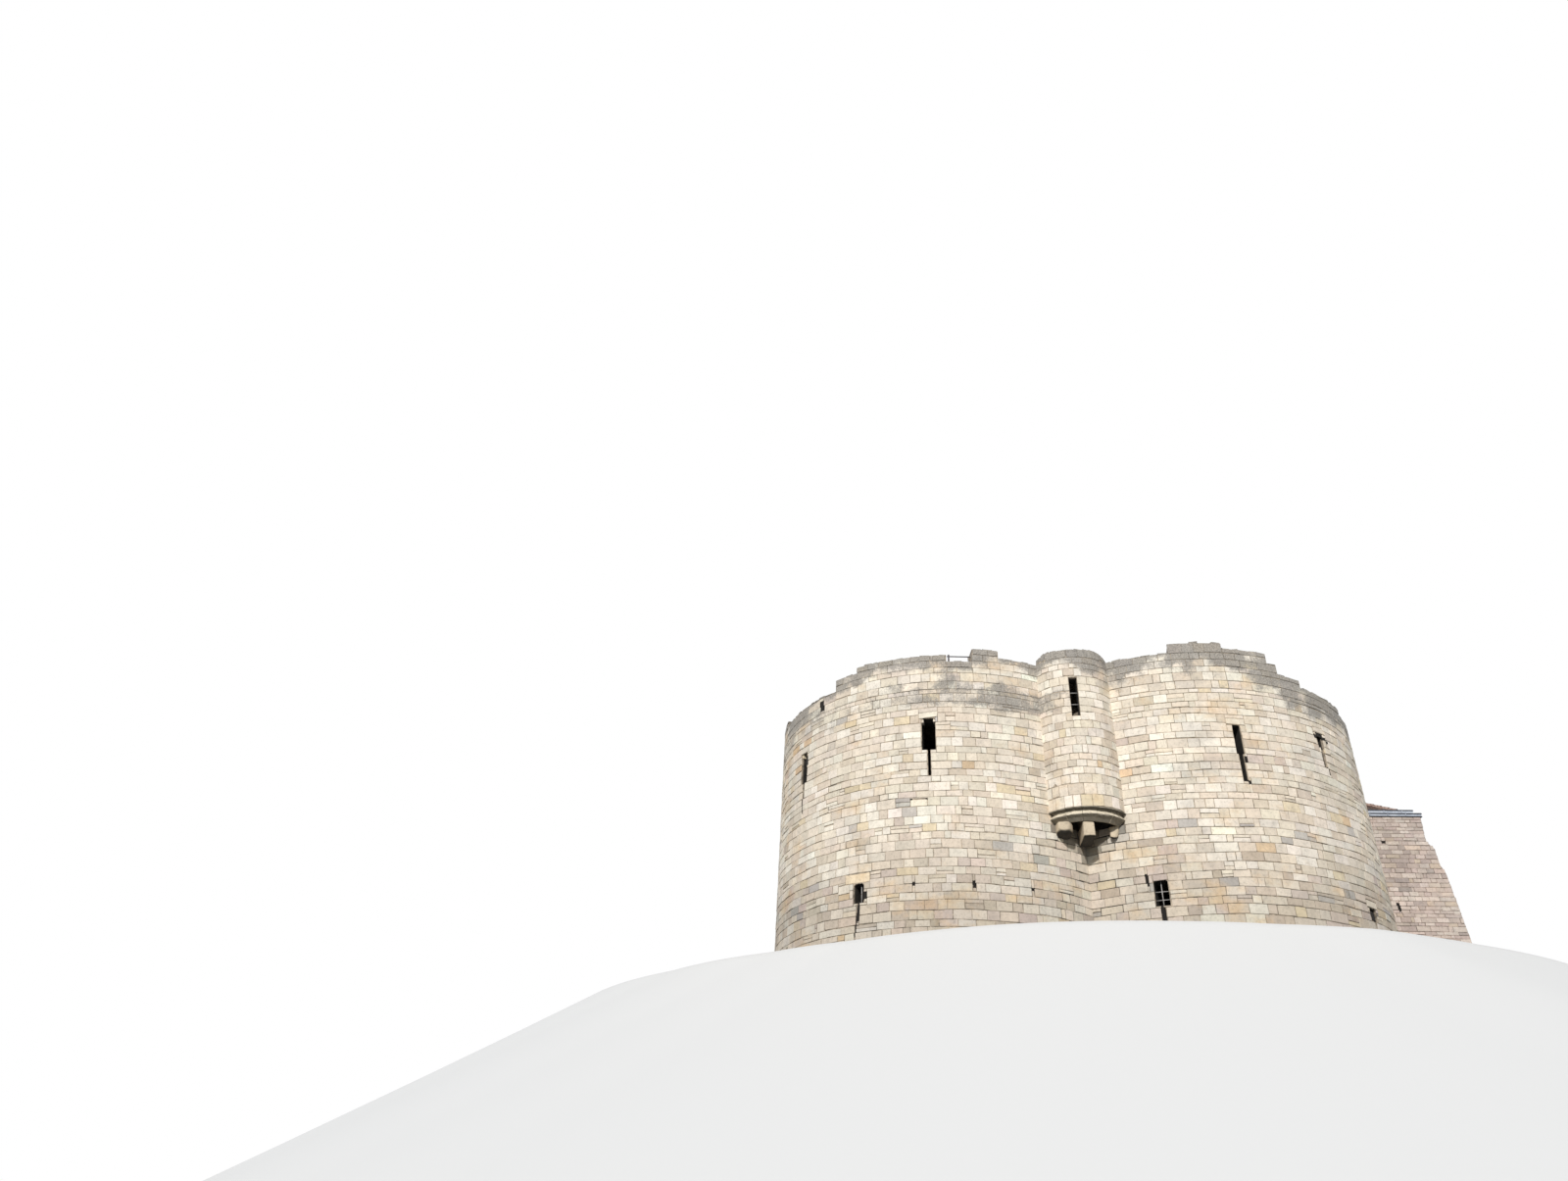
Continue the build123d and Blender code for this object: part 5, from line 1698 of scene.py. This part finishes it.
def buttress_out(low, high):
    """How far the buttresses stand out in the middle of a row."""
    return float(np.interp((low + high) / 2, BUTTRESS_LEVELS, BUTTRESS_OUTS))


def make_fore_side(side, word, rows, rng):
    """The stones on a side wall, on the front of its buttress and on the buttress's inner cheek."""
    inward, forward = (-side, 0.0, 0.0), (0.0, -1.0, 0.0)
    corner = (side * FORE_HALF_WIDTH, -FORE_FRONT, 0.0)
    wall = flat_face(corner, (0.0, 1.0, 0.0), (side, 0.0, 0.0))
    front = flat_face(corner, inward, forward, BUTTRESS_PROFILE)
    cheek = flat_face((side * (FORE_HALF_WIDTH - BUTTRESS_WIDTH), -FORE_FRONT, 0.0), forward, inward)
    meets = FORE_FRONT - LOBE_PLACE - math.sqrt(LOBE_RADIUS ** 2 - (FORE_HALF_WIDTH - LOBE_PLACE) ** 2)

    def wall_row(low, high):
        return [(-buttress_out(low, high), meets + 0.02, FORE_WALL_TOP)]

    def cheek_row(low, high):
        return [(0.0, buttress_out(low, high), FORE_WALL_TOP)]

    wounds = [wound_parts(hole[0], hole, rng) for hole in FORE_HOLES] if side < 0 else []
    wall_stones = lay(rows, wall_row, wounds, FORE_LENGTHS, rng)
    if wounds:
        make_hollows("forebuilding_hollows", wall, wounds, rng)
    front_stones = lay(rows, [(0.0, BUTTRESS_WIDTH, FORE_WALL_TOP)], [], FORE_LENGTHS, rng)
    cheek_stones = lay(rows, cheek_row, [], FORE_LENGTHS, rng)
    laid = ((wall, wall_stones), (front, front_stones), (cheek, cheek_stones))
    groups = [(surface, stones, UNAGED_TOP, RUBBLE) for surface, stones in laid]
    make_stones(f"forebuilding_{word}_stones", groups, FORE_STONE, rng,
                forebuilding_colours)


def make_forebuilding(seed):
    """Thin courses on the side walls, the front wall and the battered buttresses."""
    rng = np.random.default_rng(seed)
    rows = courses(0.0, FORE_WALL_TOP, FORE_COURSES, rng)
    make_fore_side(-1.0, "left", rows, rng)
    make_fore_side(1.0, "right", rows, rng)
    radius = FORE_DOOR_RADIUS
    door = [(0.0, FORE_DOOR_SPRING, -radius, radius)]
    lifts = np.linspace(0.0, radius, 6)
    for foot, head in zip(lifts[:-1], lifts[1:]):
        reach = math.sqrt(radius ** 2 - foot ** 2)
        door.append((FORE_DOOR_SPRING + foot, FORE_DOOR_SPRING + head, -reach, reach))
    width, sill, head = FORE_WINDOW
    window = [(sill, head, -width / 2, width / 2)]
    half = FORE_HALF_WIDTH - BUTTRESS_WIDTH
    stones = lay(rows, [(-half, half, FORE_WALL_TOP)], [door, window], FORE_LENGTHS, rng)
    make_stones("forebuilding_front_stones", [(FRONT_WALL, stones, UNAGED_TOP, RUBBLE)],
                FORE_STONE, rng, forebuilding_colours)


# Scene: stage, light and camera

def camera_axes():
    """Right, up and forward of the photograph's camera, from its yaw, pitch and roll."""
    forward = np.array([math.cos(CAMERA_PITCH) * math.cos(CAMERA_YAW),
                        math.cos(CAMERA_PITCH) * math.sin(CAMERA_YAW), math.sin(CAMERA_PITCH)])
    level_right = np.array([math.sin(CAMERA_YAW), -math.cos(CAMERA_YAW), 0.0])
    level_up = np.cross(level_right, forward)
    right = math.cos(CAMERA_ROLL) * level_right + math.sin(CAMERA_ROLL) * level_up
    up = -math.sin(CAMERA_ROLL) * level_right + math.cos(CAMERA_ROLL) * level_up
    return right, up, forward


def make_camera():
    """The camera at the photograph's place, looking as it looked."""
    right, up, forward = camera_axes()
    camera = bpy.data.cameras.new("photograph camera")
    camera.sensor_width = 36.0
    camera.lens = FOCAL_PIXELS * camera.sensor_width / IMAGE_SIZE[0]
    camera.clip_end = 500.0
    holder = bpy.data.objects.new("photograph camera", camera)
    turned = Matrix([[right[i], up[i], -forward[i]] for i in range(3)]).to_4x4()
    holder.matrix_world = Matrix.Translation(Vector(CAMERA_PLACE)) @ turned
    bpy.context.collection.objects.link(holder)
    bpy.context.scene.camera = holder


def crest_edge(bearings):
    """The distance from the keep's centre to the edge of the level ground, at each bearing.

    In the photograph's view the edge lies where the rays through the crest's pixels meet the ground;
    elsewhere it is a circle, with an even passage between them.
    """
    right, up, forward = camera_axes()
    pixels = np.array(CREST_PIXELS, float)
    aside = (pixels[:, :1] - IMAGE_SIZE[0] / 2) / FOCAL_PIXELS
    above = (IMAGE_SIZE[1] / 2 - pixels[:, 1:]) / FOCAL_PIXELS
    rays = forward + aside * right + above * up
    place = np.array(CAMERA_PLACE)
    hits = place + rays * (-place[2] / rays[:, 2:])
    seen = np.unwrap(np.arctan2(hits[:, 1], hits[:, 0]))
    seen = np.where(seen < 0, seen + 2 * math.pi, seen)
    reach = np.hypot(hits[:, 0], hits[:, 1])
    order = np.argsort(seen)
    angles = np.concatenate([[seen.min() - CREST_MARGIN], seen[order], [seen.max() + CREST_MARGIN]])
    reaches = np.concatenate([[GROUND_REACH], reach[order], [GROUND_REACH]])
    return np.interp(bearings, angles, reaches)


def seen_directly(tree):
    """1 for what the camera sees, also in gloss and through glass, and 0 for light that bounces."""
    path = tree.nodes.new("ShaderNodeLightPath").outputs
    shown = calculate(tree, "MAXIMUM", path["Is Camera Ray"], path["Is Glossy Ray"])
    return calculate(tree, "MAXIMUM", shown, path["Is Transmission Ray"])


def make_stage():
    """Smooth level ground that falls away all round: rings whose distance and level follow a profile."""
    bearings = np.linspace(0.0, 2.0 * math.pi, 240, endpoint=False)
    edge = crest_edge(bearings)
    beyond = np.array([0.15, 0.5, 1.2, 3.0, 6.0, 10.0, 15.0, 20.0, 24.0, 30.0, 60.0, 200.0])
    fall = np.minimum(np.tan(GROUND_SLOPE) * np.maximum(beyond - 0.1, 0.0), GROUND_DEPTH)

    def ring(reach, level):
        return np.stack([reach * np.cos(bearings), reach * np.sin(bearings), np.full_like(bearings, level)],
                        axis=-1)

    rings = [ring(edge * part, GROUND_LEVEL) for part in (0.5, 0.85, 1.0)]
    rings += [ring(edge + out, GROUND_LEVEL - drop) for out, drop in zip(beyond, fall)]
    places = np.concatenate([[[0.0, 0.0, GROUND_LEVEL]], *rings])
    count = len(bearings)
    first = 1 + np.arange(count)
    faces = np.stack([np.zeros(count, int), first, np.roll(first, -1)], axis=-1).tolist()
    for index in range(len(rings) - 1):
        here = first + index * count
        outside = here + count
        faces += np.stack([here, outside, np.roll(outside, -1), np.roll(here, -1)], axis=-1).tolist()
    mesh = bpy.data.meshes.new("stage_floor")
    mesh.from_pydata(places, [], faces)
    mesh.shade_smooth()
    material, tree, shader, place = new_material("pale floor", 0.9)
    base = blend(tree, seen_directly(tree), (0.20, 0.20, 0.19, 1.0), (0.72, 0.72, 0.71, 1.0))
    tree.links.new(base, shader.inputs["Base Color"])
    mesh.materials.append(material)
    floor = bpy.data.objects.new("stage_floor", mesh)
    bpy.context.collection.objects.link(floor)


def make_light():
    """A soft sun from the left front of the view, and a pale sky that also fills the shade."""
    sun = bpy.data.lights.new("soft sun", "SUN")
    sun.energy = SUN_STRENGTH
    sun.angle = math.radians(2.0)
    sun.color = SUN_COLOUR
    holder = bpy.data.objects.new("soft sun", sun)
    aside = math.cos(SUN_HEIGHT)
    source = Vector((math.cos(SUN_BEARING) * aside, math.sin(SUN_BEARING) * aside, math.sin(SUN_HEIGHT)))
    holder.rotation_euler = source.to_track_quat("Z", "Y").to_euler()
    bpy.context.collection.objects.link(holder)
    world = bpy.data.worlds.new("pale sky")
    bpy.context.scene.world = world
    world.use_nodes = True
    tree = world.node_tree
    tree.nodes.clear()
    fill = add(tree, "ShaderNodeBackground", None, Color=SKY_COLOUR, Strength=SKY_STRENGTH).outputs[0]
    white = add(tree, "ShaderNodeBackground", None, Color=(1.0, 1.0, 1.0, 1.0), Strength=1.0).outputs[0]
    mixed = add(tree, "ShaderNodeMixShader", None, _0=seen_directly(tree), _1=fill, _2=white).outputs[0]
    add(tree, "ShaderNodeOutputWorld", None, Surface=mixed)


# Finishes of the loaded nodes by the start of their names, the first that fits; all others are core or paving
FINISHES = [("forebuilding_roof", TILE_BED), ("forebuilding_lead", LEAD),
            ("forebuilding_upper_floor", OAK_BEAM), ("forebuilding_ground_floor", PAVING_BED),
            ("forebuilding", FORE_CORE), ("ground_floor", PAVING_BED), ("upper_floor", OAK_BEAM),
            ("roof_deck", OAK_BEAM), ("parapet_guard", RAIL_IRON)]

# Floors: widths and lengths of the boards or flags, how they lie, slot, material and colours
BOARDED = (BOARD_WIDTHS, BOARD_LENGTHS, BOARDS, "oak", OAK_BOARD, OAK_COLOURS)
FLAGGED = (FLAG_WIDTHS, FLAG_LENGTHS, FLAGS, "paving", PAVING, PAVING_COLOURS)


def dress_frame():
    """Gives every loaded node its finish, by the start of its name."""
    for name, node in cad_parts.items():
        found = [material for start, material in FINISHES if name.startswith(start)]
        material = found[0] if found else PAVING_BED if name.endswith("wall_walk") else CORE
        node.data.materials.clear()
        node.data.materials.append(material)


dress_frame()
for index, (lobe_name, lobe_signs) in enumerate(LOBES.items()):
    make_lobe(lobe_name, lobe_signs, 100 + index)
    make_low_window_bars(lobe_name, lobe_signs)
    make_wall_walk(lobe_name, lobe_signs, 200 + index)
for index, (turret_name, turret_turn) in enumerate(TURRETS.items()):
    make_turret(turret_name, turret_turn, 300 + index)
    make_ring(turret_name, turret_turn, 310 + index)
    make_corbels(turret_name, turret_turn, 320 + 20 * index)
    make_turret_bars(turret_name, turret_turn)
make_floor("roof_deck_boarding", DECK_LEVEL, DECK_HALF_WIDTH, BOARDED, 501)
make_floor("upper_floor_boarding", UPPER_FLOOR, UPPER_HALF_WIDTH, BOARDED, 502)
make_floor("ground_floor_flags", GROUND_FLOOR, LOWER_HALF_WIDTH, FLAGGED, 503)
make_forebuilding(400)
make_door_arch(401)
make_tiles(402)
make_hip_tiles(403)
make_lead(404)
make_stage()
make_light()
make_camera()
bpy.context.scene.view_settings.view_transform = "Standard"
